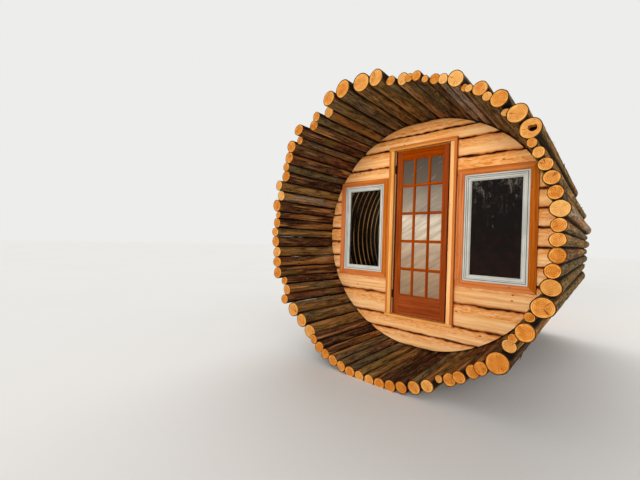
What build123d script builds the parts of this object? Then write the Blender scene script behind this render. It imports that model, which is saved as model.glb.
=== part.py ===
from build123d import *
from itertools import accumulate, cycle
from math import acos, atan, cos, degrees, radians, sin, sqrt
import os

# Log sauna: a lying barrel of whole round logs. The logs run past a round front
# wall of half-log slabs and shelter a porch. A glazed door stands in the middle
# of that wall, with a window on each side of it. The rear wall is plain.
#
# Frame: X runs across the front, the front looks along -Y, +Z is up. The origin
# is on the ground under the middle of the barrel. Lengths are in millimetres.

# Barrel
LOG_LENGTH = 3660
BARREL_INNER_RADIUS = 1378
LOG_GAP = 5
MEAN_LOG_DIAMETER = 105
HEWN_DEPTH = 25

# Logs clockwise from the top, seen from the front: the diameter of the front
# end, and how far that end stands out past the nominal face of the porch.
LOG_RUN = (
    # Right of the top, a thin log between every two or three thick ones
    (150, 40), (85, -30), (110, -70), (70, -20), (80, 0), (55, -30), (85, -60), (80, -30),
    (125, -30), (55, -70), (55, -20), (110, -20), (65, -10), (125, 10), (55, -50),
    # Down the right side
    (135, 20), (140, 10), (60, 20), (75, -10), (90, -50), (100, -60), (95, -80), (120, -90),
    (95, -60), (95, -30), (105, -60), (100, -20), (125, -90), (145, -20), (65, -40),
    (130, 10), (60, -20), (100, -90), (165, -20), (100, -40), (105, -120), (100, -80),
    # Under the floor
    (105, -130), (60, -120), (105, -40), (110, -20), (105, 0), (110, 0), (105, 0), (105, 0),
    (105, 0), (110, 0), (105, 0), (110, 0), (105, 0), (110, -20),
    # Up the left side
    (100, -30), (160, -100), (150, -80), (160, -50), (100, 40), (125, -60), (90, -50),
    (130, 10), (120, -10), (125, -30), (125, -20), (100, 0), (115, -30), (80, -20),
    (135, 0), (115, -30), (110, 50), (130, -20), (90, 50), (130, 50),
    # Left of the top, where the ends stand out furthest
    (130, 100), (85, 60), (115, 150), (110, 10), (95, 80), (115, -20), (145, 130),
    (175, 100), (175, 40),
)
LOG_SIDES = 16
TAPER_SHARE = 0.12
REAR_RAGGEDNESS = 0.4

# Round walls
PORCH_DEPTH = 1040
REAR_RECESS = 120
WALL_CLEARANCE = 14
SLAB_THICKNESS = 60
SLAB_ARRIS = 15
COURSE_GAP = 10
BACKING_THICKNESS = 40
BOARD_JOINT = 2
FOOT_COURSES = 2
BELOW_WINDOW_COURSES = 2
WINDOW_COURSES = 6
ABOVE_WINDOW_COURSES = 2
HEAD_COURSES = 2
REAR_COURSES = 14

# Liner and floor
LINER_DEPTH = 25
LINER_FIT = 0.5
FLOOR_BOARD_WIDTH = 140
FLOOR_BOARD_THICKNESS = 36
FLOOR_BOARD_GAP = 3
JOIST_WIDTH = 45
JOIST_DEPTH = 140
JOIST_PITCH = 560
FIT = 1

# Door
DOOR_ABOVE_AXIS = 23
DOOR_WIDTH = 676
DOOR_HEIGHT = 2032
DOOR_THICKNESS = 40
DOOR_GAP = 7
STILE_WIDTH = 75
TOP_RAIL = 105
BOTTOM_RAIL = 235
MUNTIN_WIDTH = 28
MUNTIN_DEPTH = 28
DOOR_PANES_ACROSS = 3
DOOR_PANES_UP = 5
DOOR_PANE_THICKNESS = 6
JAMB_THICKNESS = 30
OPENING_FIT = 3
STOP_WIDTH = 18
STOP_THICKNESS = 15
STOP_CLEARANCE = 5
CASING_WIDTH = 70
CASING_HEAD = 50
CASING_THICKNESS = 45
CASING_REVEAL = 4
CASING_CHAMFER = 4
SILL_THICKNESS = 25
SILL_NOSING = 55

# Hinges
HINGE_HEIGHT = 100
HINGE_PLATE = 2.4
HINGE_PLATE_WIDTH = 34
HINGE_FROM_TOP = 221
HINGE_FROM_FOOT = 244
KNUCKLE_RADIUS = 6
PIN_RADIUS = 3
PIN_FIT = 0.4
PIN_PROUD = 8
KNUCKLE_JOINT = 1
PIN_HEAD_HEIGHT = 4

# Windows
WINDOW_WIDTH = 611
WINDOW_HEIGHT = 1147
WINDOW_ABOVE_AXIS = 80
TRIM_CLEARANCE = 13.5
WINDOW_FRAME_FACE = 35
WINDOW_FRAME_DEPTH = 80
WINDOW_FRAME_PROUD = 10
SASH_FACE = 32
SASH_DEPTH = 45
SASH_SETBACK = 14
WINDOW_GLASS_THICKNESS = 20
TRIM_WIDTH = 70
TRIM_THICKNESS = 22
MITRE_JOINT = 1

# Places that follow from the sizes above
AXIS_HEIGHT = BARREL_INNER_RADIUS + MEAN_LOG_DIAMETER - HEWN_DEPTH
FRONT_FACE = -LOG_LENGTH / 2
REAR_FACE = LOG_LENGTH / 2
WALL_FRONT = FRONT_FACE + PORCH_DEPTH
WALL_BACKING = WALL_FRONT + SLAB_THICKNESS
WALL_INSIDE = WALL_BACKING + BACKING_THICKNESS
REAR_WALL_OUTSIDE = REAR_FACE - REAR_RECESS
REAR_BACKING = REAR_WALL_OUTSIDE - SLAB_THICKNESS
REAR_WALL_INSIDE = REAR_BACKING - BACKING_THICKNESS
LINER_INNER_RADIUS = BARREL_INNER_RADIUS - LINER_DEPTH
WALL_RADIUS = BARREL_INNER_RADIUS - WALL_CLEARANCE

DOOR_FOOT = AXIS_HEIGHT + DOOR_ABOVE_AXIS - DOOR_HEIGHT / 2
DOOR_HEAD = DOOR_FOOT + DOOR_HEIGHT
JAMB_INNER = DOOR_WIDTH / 2 + DOOR_GAP
JAMB_OUTER = JAMB_INNER + JAMB_THICKNESS
DOORWAY_HALF = JAMB_OUTER + OPENING_FIT
SILL_TOP = DOOR_FOOT - DOOR_GAP
SILL_FOOT = SILL_TOP - SILL_THICKNESS
JAMB_HEAD = DOOR_HEAD + DOOR_GAP
DOORWAY_HEAD = JAMB_HEAD + JAMB_THICKNESS + OPENING_FIT
CASING_INNER = JAMB_INNER + CASING_REVEAL
CASING_OUTER = CASING_INNER + CASING_WIDTH
FLOOR_TOP = SILL_TOP

WINDOW_CENTRE = CASING_OUTER + TRIM_CLEARANCE + TRIM_WIDTH + WINDOW_WIDTH / 2
WINDOW_MIDDLE = AXIS_HEIGHT + WINDOW_ABOVE_AXIS
WINDOW_FOOT = WINDOW_MIDDLE - WINDOW_HEIGHT / 2
WINDOW_HEAD = WINDOW_MIDDLE + WINDOW_HEIGHT / 2
WINDOW_NEAR = WINDOW_CENTRE - WINDOW_WIDTH / 2 - OPENING_FIT
WINDOW_FAR = WINDOW_CENTRE + WINDOW_WIDTH / 2 + OPENING_FIT

os.makedirs("parts", exist_ok=True)


def save(part, name):
    """Label a finished piece and write its file."""
    part.label = name
    export_step(part, f"parts/{name}.step")


def ring_step(radius_a, radius_b):
    """Angle between two logs that lie side by side on the inner circle."""
    centre_a = BARREL_INNER_RADIUS + radius_a
    centre_b = BARREL_INNER_RADIUS + radius_b
    apart = radius_a + radius_b + LOG_GAP
    cosine = (centre_a**2 + centre_b**2 - apart**2) / (2 * centre_a * centre_b)
    return degrees(acos(cosine))


def ring_steps(radii):
    """Angles between neighbours all round a closed ring, from its first log on."""
    return [ring_step(here, after) for here, after in zip(radii, radii[1:] + radii[:1])]


def choose_logs():
    """Take logs from the run while both ends of the ring have room for them. Each
    lies butt forward or butt back, whichever keeps the two ends equally full."""
    fronts, rears, overhangs = [], [], []
    for diameter, overhang in cycle(LOG_RUN):
        front = diameter / 2
        butt_back = sum(fronts) > sum(rears)
        rear = front * (1 + TAPER_SHARE if butt_back else 1 - TAPER_SHARE)
        if max(sum(ring_steps(fronts + [front])), sum(ring_steps(rears + [rear]))) > 360:
            return fronts, rears, overhangs
        fronts.append(front)
        rears.append(rear)
        overhangs.append(overhang)


def ring_angles(radii):
    """Angle of each log of one end of the ring, with the room left over shared out."""
    steps = ring_steps(radii)
    share = (360 - sum(steps)) / len(steps)
    return list(accumulate((step + share for step in steps[:-1]), initial=0))


def lay_logs():
    """Lay the ring so that one log lies right at the bottom, as its keel. Each log
    is the angles and the radii of its front and rear ends, and its overhang."""
    fronts, rears, overhangs = choose_logs()
    front_angles, rear_angles = ring_angles(fronts), ring_angles(rears)
    keel = min(range(len(fronts)), key=lambda place: abs(front_angles[place] - 180))
    return [
        (
            tuple(end[place] + 180 - end[keel] for end in (front_angles, rear_angles)),
            (fronts[place], rears[place]),
            overhangs[place],
        )
        for place in range(len(fronts))
    ]


def on_ring(angle, radius, y):
    """Point at an angle clockwise from the top, seen from the front."""
    turn = radians(angle)
    return Vector(radius * sin(turn), y, AXIS_HEIGHT + radius * cos(turn))


def tapered_log(angles, radii, overhang):
    """Draw one log from its butt to its thin end, as a many-sided round. A flat of
    it lies along the inner circle, so its axis leans out towards the butt."""
    faces = (FRONT_FACE - overhang, REAR_FACE - REAR_RAGGEDNESS * overhang)
    front_end, rear_end = (
        on_ring(angle, BARREL_INNER_RADIUS + radius, face)
        for angle, radius, face in zip(angles, radii, faces)
    )
    butt, tip = (front_end, rear_end) if radii[0] > radii[1] else (rear_end, front_end)
    run = tip - butt
    middle = sum(angles) / 2
    outwards = on_ring(middle, 1, 0) - on_ring(middle, 0, 0)
    taper = degrees(atan((max(radii) - min(radii)) / run.length))
    with BuildSketch(Plane(origin=butt, x_dir=outwards.cross(run), z_dir=run)) as section:
        RegularPolygon(max(radii), LOG_SIDES, major_radius=False, rotation=180 / LOG_SIDES)
    extrude(section.sketch, amount=run.length, taper=taper)


# The ring of logs, in eight groups
LOG_GROUPS = (
    "logs_top", "logs_upper_right", "logs_right", "logs_lower_right",
    "logs_bottom", "logs_lower_left", "logs_left", "logs_upper_left",
)
SECTOR = 360 / len(LOG_GROUPS)
ring = lay_logs()
for sector, group_name in enumerate(LOG_GROUPS):
    with BuildPart() as log_group:
        for angles, radii, overhang in ring:
            if int((angles[0] + SECTOR / 2) % 360 // SECTOR) == sector:
                tapered_log(angles, radii, overhang)
        # The lowest logs are hewn flat where they bear on the ground.
        split(bisect_by=Plane.XY, keep=Keep.TOP)
    save(log_group.part, group_name)


def wall_disc(radius, front, back):
    """Solid disc about the barrel's axis, for trimming what lies in a round wall."""
    with BuildPart(mode=Mode.PRIVATE) as disc:
        with BuildSketch(Plane.XZ.offset(-front)):
            with Locations((0, AXIS_HEIGHT)):
                Circle(radius)
        extrude(amount=-(back - front))
    return disc.part


def slab(left, right, foot, head, outside, inside):
    """Half-log slab between two heights, its outer arrises hewn off."""
    with BuildSketch(Plane.YZ.offset(left)) as section:
        with BuildLine():
            Polyline((outside, foot), (inside, foot), (inside, head), (outside, head), close=True)
        make_face()
        outer_side = 0 if outside < inside else -1
        chamfer(section.vertices().group_by(Axis.X)[outer_side], SLAB_ARRIS)
    extrude(section.sketch, amount=right - left)


def courses(foot, head, count):
    """Split a height into courses and give each its foot and head."""
    height = (head - foot) / count
    return [
        (foot + place * height + COURSE_GAP / 2, foot + (place + 1) * height - COURSE_GAP / 2)
        for place in range(count)
    ]


WALL_FOOT = AXIS_HEIGHT - WALL_RADIUS
WALL_HEAD = AXIS_HEIGHT + WALL_RADIUS
FULL = WALL_RADIUS + FIT
front_disc = wall_disc(WALL_RADIUS, WALL_FRONT, WALL_INSIDE)


def front_slabs(name, bays, foot, head, count):
    """Courses of the front wall between two heights, one slab for each bay."""
    with BuildPart() as wall:
        for low, high in courses(foot, head, count):
            for left, right in bays:
                slab(left, right, low, high, WALL_FRONT, WALL_BACKING)
        add(front_disc, mode=Mode.INTERSECT)
    save(wall.part, name)


# Front wall of slabs: below the door, beside it, beside the windows, and above
front_slabs("front_wall_foot", [(-FULL, FULL)], WALL_FOOT, SILL_FOOT, FOOT_COURSES)
front_slabs(
    "front_wall_below_windows",
    [(-FULL, -DOORWAY_HALF), (DOORWAY_HALF, FULL)],
    SILL_FOOT, WINDOW_FOOT - OPENING_FIT, BELOW_WINDOW_COURSES,
)
front_slabs(
    "front_wall_beside_windows",
    [(-FULL, -WINDOW_FAR), (WINDOW_FAR, FULL)],
    WINDOW_FOOT - OPENING_FIT, WINDOW_HEAD + OPENING_FIT, WINDOW_COURSES,
)
front_slabs(
    "front_wall_above_windows",
    [(-FULL, -DOORWAY_HALF), (DOORWAY_HALF, FULL)],
    WINDOW_HEAD + OPENING_FIT, DOORWAY_HEAD, ABOVE_WINDOW_COURSES,
)
front_slabs("front_wall_head", [(-FULL, FULL)], DOORWAY_HEAD, WALL_HEAD, HEAD_COURSES)


def board(left, right, front, back, foot, head):
    """Plain board between two corners."""
    with BuildSketch(Plane.XY.offset(foot)) as plan:
        with Locations(((left + right) / 2, (front + back) / 2)):
            Rectangle(right - left, back - front)
    extrude(plan.sketch, amount=head - foot)


# Posts between the door and each window, in the thickness of the slabs
with BuildPart() as posts:
    for left, right in ((-WINDOW_NEAR, -DOORWAY_HALF), (DOORWAY_HALF, WINDOW_NEAR)):
        board(
            left, right, WALL_FRONT, WALL_BACKING,
            WINDOW_FOOT - OPENING_FIT, WINDOW_HEAD + OPENING_FIT,
        )
save(posts.part, "window_posts")

# Upright boards that back the slabs of the front wall
LOWER_RUN = (WALL_FOOT, WINDOW_FOOT - OPENING_FIT)
UPPER_RUN = (WINDOW_HEAD + OPENING_FIT, WALL_HEAD)
WHOLE_RUN = (WALL_FOOT, WALL_HEAD)
BACKING_STRIPS = (
    (-DOORWAY_HALF, DOORWAY_HALF, (WALL_FOOT, SILL_FOOT)),
    (-DOORWAY_HALF, DOORWAY_HALF, (DOORWAY_HEAD, WALL_HEAD)),
    (DOORWAY_HALF, WINDOW_NEAR, WHOLE_RUN),
    (WINDOW_NEAR, WINDOW_FAR, LOWER_RUN),
    (WINDOW_NEAR, WINDOW_FAR, UPPER_RUN),
    (WINDOW_FAR, FULL, WHOLE_RUN),
    (-WINDOW_NEAR, -DOORWAY_HALF, WHOLE_RUN),
    (-WINDOW_FAR, -WINDOW_NEAR, LOWER_RUN),
    (-WINDOW_FAR, -WINDOW_NEAR, UPPER_RUN),
    (-FULL, -WINDOW_FAR, WHOLE_RUN),
)
with BuildPart() as front_backing:
    for left, right, (foot, head) in BACKING_STRIPS:
        board(
            left + BOARD_JOINT / 2, right - BOARD_JOINT / 2,
            WALL_BACKING, WALL_INSIDE, foot, head,
        )
    add(front_disc, mode=Mode.INTERSECT)
save(front_backing.part, "front_wall_backing")

# Rear wall: the same slabs over the whole round, on a plain backing
with BuildPart() as rear_wall:
    for low, high in courses(WALL_FOOT, WALL_HEAD, REAR_COURSES):
        slab(-FULL, FULL, low, high, REAR_WALL_OUTSIDE, REAR_BACKING)
    add(wall_disc(WALL_RADIUS, REAR_WALL_INSIDE, REAR_WALL_OUTSIDE), mode=Mode.INTERSECT)
save(rear_wall.part, "rear_wall")

rear_backing = wall_disc(WALL_RADIUS, REAR_WALL_INSIDE, REAR_BACKING)
save(rear_backing, "rear_wall_backing")

# Round liner that carries the ring of logs between the two walls
with BuildPart() as liner:
    with BuildSketch(Plane.XZ.offset(-WALL_INSIDE)):
        with Locations((0, AXIS_HEIGHT)):
            Circle(BARREL_INNER_RADIUS - LINER_FIT)
            Circle(LINER_INNER_RADIUS, mode=Mode.SUBTRACT)
    extrude(amount=WALL_INSIDE - REAR_WALL_INSIDE)
save(liner.part, "barrel_liner")

# Floor: joists across the round, and boards from the front wall to the rear
JOIST_HEAD = FLOOR_TOP - FLOOR_BOARD_THICKNESS
liner_core = wall_disc(LINER_INNER_RADIUS, WALL_INSIDE, REAR_WALL_INSIDE)
room_length = REAR_WALL_INSIDE - WALL_INSIDE
joist_count = round(room_length / JOIST_PITCH)
with BuildPart() as joists:
    for place in range(joist_count):
        middle = WALL_INSIDE + (place + 0.5) * room_length / joist_count
        board(
            -FULL, FULL, middle - JOIST_WIDTH / 2, middle + JOIST_WIDTH / 2,
            JOIST_HEAD - JOIST_DEPTH, JOIST_HEAD,
        )
    add(liner_core, mode=Mode.INTERSECT)
save(joists.part, "floor_joists")

floor_half = sqrt(LINER_INNER_RADIUS**2 - (AXIS_HEIGHT - FLOOR_TOP) ** 2)
board_count = round(2 * floor_half / (FLOOR_BOARD_WIDTH + FLOOR_BOARD_GAP))
board_pitch = 2 * floor_half / board_count
with BuildPart() as floor_boards:
    for place in range(board_count):
        left = place * board_pitch - floor_half + FLOOR_BOARD_GAP / 2
        board(
            left, left + board_pitch - FLOOR_BOARD_GAP,
            WALL_INSIDE, REAR_WALL_INSIDE, JOIST_HEAD, FLOOR_TOP,
        )
    add(liner_core, mode=Mode.INTERSECT)
save(floor_boards.part, "floor_boards")

# Doorway: a sill with horns under the casing, jambs, stops and casing boards
with BuildPart() as sill:
    board(-JAMB_OUTER, JAMB_OUTER, WALL_FRONT, WALL_INSIDE, SILL_FOOT, SILL_TOP)
    board(-CASING_OUTER, CASING_OUTER, WALL_FRONT - SILL_NOSING, WALL_FRONT, SILL_FOOT, SILL_TOP)
save(sill.part, "door_sill")

with BuildPart() as jambs:
    board(-JAMB_OUTER, -JAMB_INNER, WALL_FRONT, WALL_INSIDE, SILL_TOP, JAMB_HEAD - MITRE_JOINT)
    board(JAMB_INNER, JAMB_OUTER, WALL_FRONT, WALL_INSIDE, SILL_TOP, JAMB_HEAD - MITRE_JOINT)
    board(-JAMB_OUTER, JAMB_OUTER, WALL_FRONT, WALL_INSIDE, JAMB_HEAD, JAMB_HEAD + JAMB_THICKNESS)
save(jambs.part, "door_jambs")

STOP_FRONT = WALL_FRONT + DOOR_THICKNESS + STOP_CLEARANCE
STOP_BACK = STOP_FRONT + STOP_THICKNESS
STOP_INNER = JAMB_INNER - STOP_WIDTH
STOP_HEAD = JAMB_HEAD - STOP_WIDTH
with BuildPart() as stops:
    board(-JAMB_INNER, -STOP_INNER, STOP_FRONT, STOP_BACK, SILL_TOP, STOP_HEAD - MITRE_JOINT)
    board(STOP_INNER, JAMB_INNER, STOP_FRONT, STOP_BACK, SILL_TOP, STOP_HEAD - MITRE_JOINT)
    board(-JAMB_INNER, JAMB_INNER, STOP_FRONT, STOP_BACK, STOP_HEAD, JAMB_HEAD)
save(stops.part, "door_stops")

CASING_FRONT = WALL_FRONT - CASING_THICKNESS
CASING_HEAD_FOOT = JAMB_HEAD + CASING_REVEAL
with BuildPart() as casing:
    with BuildSketch(Plane.XY.offset(SILL_TOP)) as side_section:
        with Locations(
            ((CASING_INNER + CASING_OUTER) / 2, WALL_FRONT - CASING_THICKNESS / 2),
            (-(CASING_INNER + CASING_OUTER) / 2, WALL_FRONT - CASING_THICKNESS / 2),
        ):
            Rectangle(CASING_WIDTH, CASING_THICKNESS)
        chamfer(side_section.vertices().group_by(Axis.Y)[0], CASING_CHAMFER)
    extrude(amount=CASING_HEAD_FOOT - MITRE_JOINT - SILL_TOP)
    with BuildSketch(Plane.YZ.offset(-CASING_OUTER)) as head_section:
        with Locations((WALL_FRONT - CASING_THICKNESS / 2, CASING_HEAD_FOOT + CASING_HEAD / 2)):
            Rectangle(CASING_THICKNESS, CASING_HEAD)
        chamfer(head_section.vertices().group_by(Axis.X)[0], CASING_CHAMFER)
    extrude(amount=2 * CASING_OUTER)
save(casing.part, "door_casing")

# Door leaf: stiles and rails round a field of panes held by muntins
FIELD_WIDTH = DOOR_WIDTH - 2 * STILE_WIDTH
FIELD_HEIGHT = DOOR_HEIGHT - TOP_RAIL - BOTTOM_RAIL
FIELD_MIDDLE = DOOR_FOOT + BOTTOM_RAIL + FIELD_HEIGHT / 2
PANE_PITCH_X = (FIELD_WIDTH + MUNTIN_WIDTH) / DOOR_PANES_ACROSS
PANE_PITCH_Z = (FIELD_HEIGHT + MUNTIN_WIDTH) / DOOR_PANES_UP
PANE_WIDTH = PANE_PITCH_X - MUNTIN_WIDTH
PANE_HEIGHT = PANE_PITCH_Z - MUNTIN_WIDTH


def door_layer(thickness):
    """Sketch plane for a layer in the middle of the leaf's thickness."""
    return Plane.XZ.offset(-(WALL_FRONT + (DOOR_THICKNESS - thickness) / 2))


with BuildPart() as leaf:
    with BuildSketch(door_layer(DOOR_THICKNESS)):
        with Locations((0, DOOR_FOOT + DOOR_HEIGHT / 2)):
            Rectangle(DOOR_WIDTH, DOOR_HEIGHT)
        with Locations((0, FIELD_MIDDLE)):
            Rectangle(FIELD_WIDTH, FIELD_HEIGHT, mode=Mode.SUBTRACT)
    extrude(amount=-DOOR_THICKNESS)
save(leaf.part, "door_leaf")

with BuildPart() as muntins:
    with BuildSketch(door_layer(MUNTIN_DEPTH)):
        with Locations((0, FIELD_MIDDLE)):
            Rectangle(FIELD_WIDTH, FIELD_HEIGHT)
            with GridLocations(PANE_PITCH_X, PANE_PITCH_Z, DOOR_PANES_ACROSS, DOOR_PANES_UP):
                Rectangle(PANE_WIDTH, PANE_HEIGHT, mode=Mode.SUBTRACT)
    extrude(amount=-MUNTIN_DEPTH)
save(muntins.part, "door_muntins")

with BuildPart() as panes:
    with BuildSketch(door_layer(DOOR_PANE_THICKNESS)):
        with Locations((0, FIELD_MIDDLE)):
            with GridLocations(PANE_PITCH_X, PANE_PITCH_Z, DOOR_PANES_ACROSS, DOOR_PANES_UP):
                Rectangle(PANE_WIDTH, PANE_HEIGHT)
    extrude(amount=-DOOR_PANE_THICKNESS)
save(panes.part, "door_panes")

# Hinges: a plate on the jamb with two knuckles and the pin, and a plate on the
# edge of the leaf with one bored knuckle between them
PIN_X = -(DOOR_WIDTH + DOOR_GAP) / 2
PIN_Y = WALL_FRONT - PIN_PROUD
KNUCKLE_THIRD = HINGE_HEIGHT / 3
HINGE_FEET = (
    DOOR_HEAD - HINGE_FROM_TOP - HINGE_HEIGHT / 2,
    DOOR_FOOT + HINGE_FROM_FOOT - HINGE_HEIGHT / 2,
)


def on_pin(radius, foot, height, mode=Mode.ADD):
    """Round length about the pin's line: a knuckle, the pin, or a bore for it."""
    with BuildSketch(Plane.XY.offset(foot)) as round_section:
        with Locations((PIN_X, PIN_Y)):
            Circle(radius)
    extrude(round_section.sketch, amount=height, mode=mode)


def plate(left, foot, height, reach):
    """Hinge plate from the wall's face inwards, or its tab out to the pin."""
    back = WALL_FRONT + HINGE_PLATE_WIDTH if reach == 0 else WALL_FRONT
    board(left, left + HINGE_PLATE, WALL_FRONT - reach, back, foot, foot + height)


with BuildPart() as fixed_hinges:
    for foot in HINGE_FEET:
        plate(-JAMB_INNER, foot, HINGE_HEIGHT, 0)
        for knuckle_foot in (foot, foot + 2 * KNUCKLE_THIRD):
            plate(-JAMB_INNER, knuckle_foot, KNUCKLE_THIRD, PIN_PROUD)
            on_pin(KNUCKLE_RADIUS, knuckle_foot, KNUCKLE_THIRD)
        on_pin(PIN_RADIUS, foot, HINGE_HEIGHT + PIN_HEAD_HEIGHT)
save(fixed_hinges.part, "hinge_jamb_plates")

with BuildPart() as moving_hinges:
    for foot in HINGE_FEET:
        middle_foot = foot + KNUCKLE_THIRD + KNUCKLE_JOINT
        middle_height = KNUCKLE_THIRD - 2 * KNUCKLE_JOINT
        plate(-DOOR_WIDTH / 2 - HINGE_PLATE, foot, HINGE_HEIGHT, 0)
        plate(-DOOR_WIDTH / 2 - HINGE_PLATE, middle_foot, middle_height, PIN_PROUD)
        on_pin(KNUCKLE_RADIUS, middle_foot, middle_height)
        on_pin(PIN_RADIUS + PIN_FIT, middle_foot, middle_height, Mode.SUBTRACT)
save(moving_hinges.part, "hinge_leaf_plates")


def window_ring(centre, width, height, face, front, depth):
    """Rectangular frame with mitre-welded corners round a window's middle."""
    with BuildSketch(Plane.XZ.offset(-front)) as ring_section:
        with Locations((centre, WINDOW_MIDDLE)):
            Rectangle(width, height)
            Rectangle(width - 2 * face, height - 2 * face, mode=Mode.SUBTRACT)
    extrude(ring_section.sketch, amount=-depth)


# Windows: frame, sash, glass and a mitred trim scribed to the round wall
WINDOW_FRONT = WALL_FRONT - WINDOW_FRAME_PROUD
SASH_WIDTH = WINDOW_WIDTH - 2 * WINDOW_FRAME_FACE
SASH_HEIGHT = WINDOW_HEIGHT - 2 * WINDOW_FRAME_FACE
SASH_FRONT = WINDOW_FRONT + SASH_SETBACK
PANE_FRONT = SASH_FRONT + (SASH_DEPTH - WINDOW_GLASS_THICKNESS) / 2
trim_disc = wall_disc(BARREL_INNER_RADIUS - OPENING_FIT, WALL_FRONT - TRIM_THICKNESS, WALL_FRONT)
for side, centre in (("left", -WINDOW_CENTRE), ("right", WINDOW_CENTRE)):
    with BuildPart() as window_frame:
        window_ring(
            centre, WINDOW_WIDTH, WINDOW_HEIGHT,
            WINDOW_FRAME_FACE, WINDOW_FRONT, WINDOW_FRAME_DEPTH,
        )
    save(window_frame.part, f"{side}_window_frame")

    with BuildPart() as sash:
        window_ring(centre, SASH_WIDTH, SASH_HEIGHT, SASH_FACE, SASH_FRONT, SASH_DEPTH)
    save(sash.part, f"{side}_window_sash")

    with BuildPart() as glass:
        with BuildSketch(Plane.XZ.offset(-PANE_FRONT)):
            with Locations((centre, WINDOW_MIDDLE)):
                Rectangle(SASH_WIDTH - 2 * SASH_FACE, SASH_HEIGHT - 2 * SASH_FACE)
        extrude(amount=-WINDOW_GLASS_THICKNESS)
    save(glass.part, f"{side}_window_glass")

    with BuildPart() as trim:
        with BuildSketch(Plane.XZ.offset(TRIM_THICKNESS - WALL_FRONT)):
            with Locations((centre, WINDOW_MIDDLE)):
                Rectangle(WINDOW_WIDTH + 2 * TRIM_WIDTH, WINDOW_HEIGHT + 2 * TRIM_WIDTH)
                Rectangle(WINDOW_WIDTH, WINDOW_HEIGHT, mode=Mode.SUBTRACT)
                for turn, corners in ((45, (-1, 1)), (-45, (1, -1))):
                    for sign in corners:
                        across = sign * (WINDOW_WIDTH + TRIM_WIDTH) / 2
                        up = sign * (WINDOW_HEIGHT + TRIM_WIDTH) / 2
                        with Locations(Location((across, up if turn > 0 else -up), turn)):
                            Rectangle(2 * TRIM_WIDTH, MITRE_JOINT, mode=Mode.SUBTRACT)
        extrude(amount=-TRIM_THICKNESS)
        add(trim_disc, mode=Mode.INTERSECT)
    save(trim.part, f"{side}_window_trim")
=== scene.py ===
# %% [markdown]
# Dressing a log sauna
#
# The sauna is a lying barrel of whole round logs. Their front ends shelter a porch, and behind it stands a
# round wall of half-log slabs, with a glazed door and two windows. Its construction comes packed, in metres,
# with the ground at z = 0 and the porch looking along -Y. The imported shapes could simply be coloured, but
# the eye expects bark, sawn ends, waney slabs, moulded frames and glass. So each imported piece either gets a
# finish, or a more detailed piece is laid exactly where it lies.

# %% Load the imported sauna
from math import atan2, cos, pi, radians, sin, sqrt

import bmesh
import bpy
import numpy as np
from mathutils import Matrix, Vector


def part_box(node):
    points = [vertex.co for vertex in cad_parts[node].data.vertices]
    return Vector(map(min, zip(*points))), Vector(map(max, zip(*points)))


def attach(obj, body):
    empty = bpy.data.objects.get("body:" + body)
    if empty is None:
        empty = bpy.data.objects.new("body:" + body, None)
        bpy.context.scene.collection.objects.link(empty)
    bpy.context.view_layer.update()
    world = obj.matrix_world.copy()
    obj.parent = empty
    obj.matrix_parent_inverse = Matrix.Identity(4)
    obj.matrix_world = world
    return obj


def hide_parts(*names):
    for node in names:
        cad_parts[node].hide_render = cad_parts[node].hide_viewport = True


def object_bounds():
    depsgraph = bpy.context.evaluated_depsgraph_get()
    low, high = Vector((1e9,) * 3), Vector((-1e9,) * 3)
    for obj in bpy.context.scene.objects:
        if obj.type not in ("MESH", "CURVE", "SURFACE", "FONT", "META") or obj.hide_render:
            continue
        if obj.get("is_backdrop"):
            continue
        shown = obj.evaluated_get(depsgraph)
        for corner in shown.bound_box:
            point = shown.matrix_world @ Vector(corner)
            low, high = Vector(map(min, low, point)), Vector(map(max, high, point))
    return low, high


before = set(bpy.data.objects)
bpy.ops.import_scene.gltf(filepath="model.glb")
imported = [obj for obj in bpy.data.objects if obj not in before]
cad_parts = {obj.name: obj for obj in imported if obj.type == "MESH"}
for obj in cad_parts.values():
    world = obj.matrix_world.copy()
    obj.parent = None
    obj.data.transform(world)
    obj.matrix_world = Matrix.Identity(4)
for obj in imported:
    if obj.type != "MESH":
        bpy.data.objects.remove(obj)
cad_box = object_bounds()
print("packed nodes:", len(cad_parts))

# %% [markdown]
# A builder sets everything out from the round end walls. Their sizes could be typed in here once more, but a
# number that is written twice can come to differ. So the places that many pieces share are read from the
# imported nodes. The rear backing gives the barrel's axis and the radius of both walls, and the window posts
# stand flush with the face of the front wall.

# %% Read the shared places
wall_low, wall_high = map(np.array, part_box("rear_wall_backing"))
AXIS_HEIGHT = (wall_low[2] + wall_high[2]) / 2
WALL_RADIUS = (wall_high[2] - wall_low[2]) / 2
WALL_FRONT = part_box("window_posts")[0].y
print("axis height", round(AXIS_HEIGHT, 3), "wall radius", round(WALL_RADIUS, 3))

# %% [markdown]
# Logs, slabs and boards are all long solids. Each could be modelled by hand from a cylinder or a cube, but
# one formula for 80 logs is quicker, and it can be changed later. So a new piece is a skin, which is a table
# of rings: each ring is a row of points, and each point carries eight numbers. The first three are its
# place. The next three are its place in the wood, with x along the grain of a board and z along the grain of
# a log. The last two are a tone for its whole plank or log, and a mark for edges. Rows that are closed at
# both ends give a solid with no seam.

# %% Turn rings of points into closed skins
def ring_quads(rows, columns):
    """Quads of a table of closed rows: a point, its right neighbour and the two above them."""
    place = np.arange(rows * columns).reshape(rows, columns)
    right = np.roll(place, -1, axis=1)
    corners = [place[:-1], right[:-1], right[1:], place[1:]]
    return np.stack(corners, axis=-1).reshape(-1, 4)


def skin(place, grain, tone=0.5, mark=0.0):
    """Put place, grain, tone and mark side by side: eight numbers for each point of each ring."""
    rows_columns = place.shape[:2]
    single = [np.broadcast_to(value, rows_columns)[..., None] for value in (tone, mark)]
    return np.concatenate([place, np.broadcast_to(grain, place.shape), *single], axis=-1)


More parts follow.
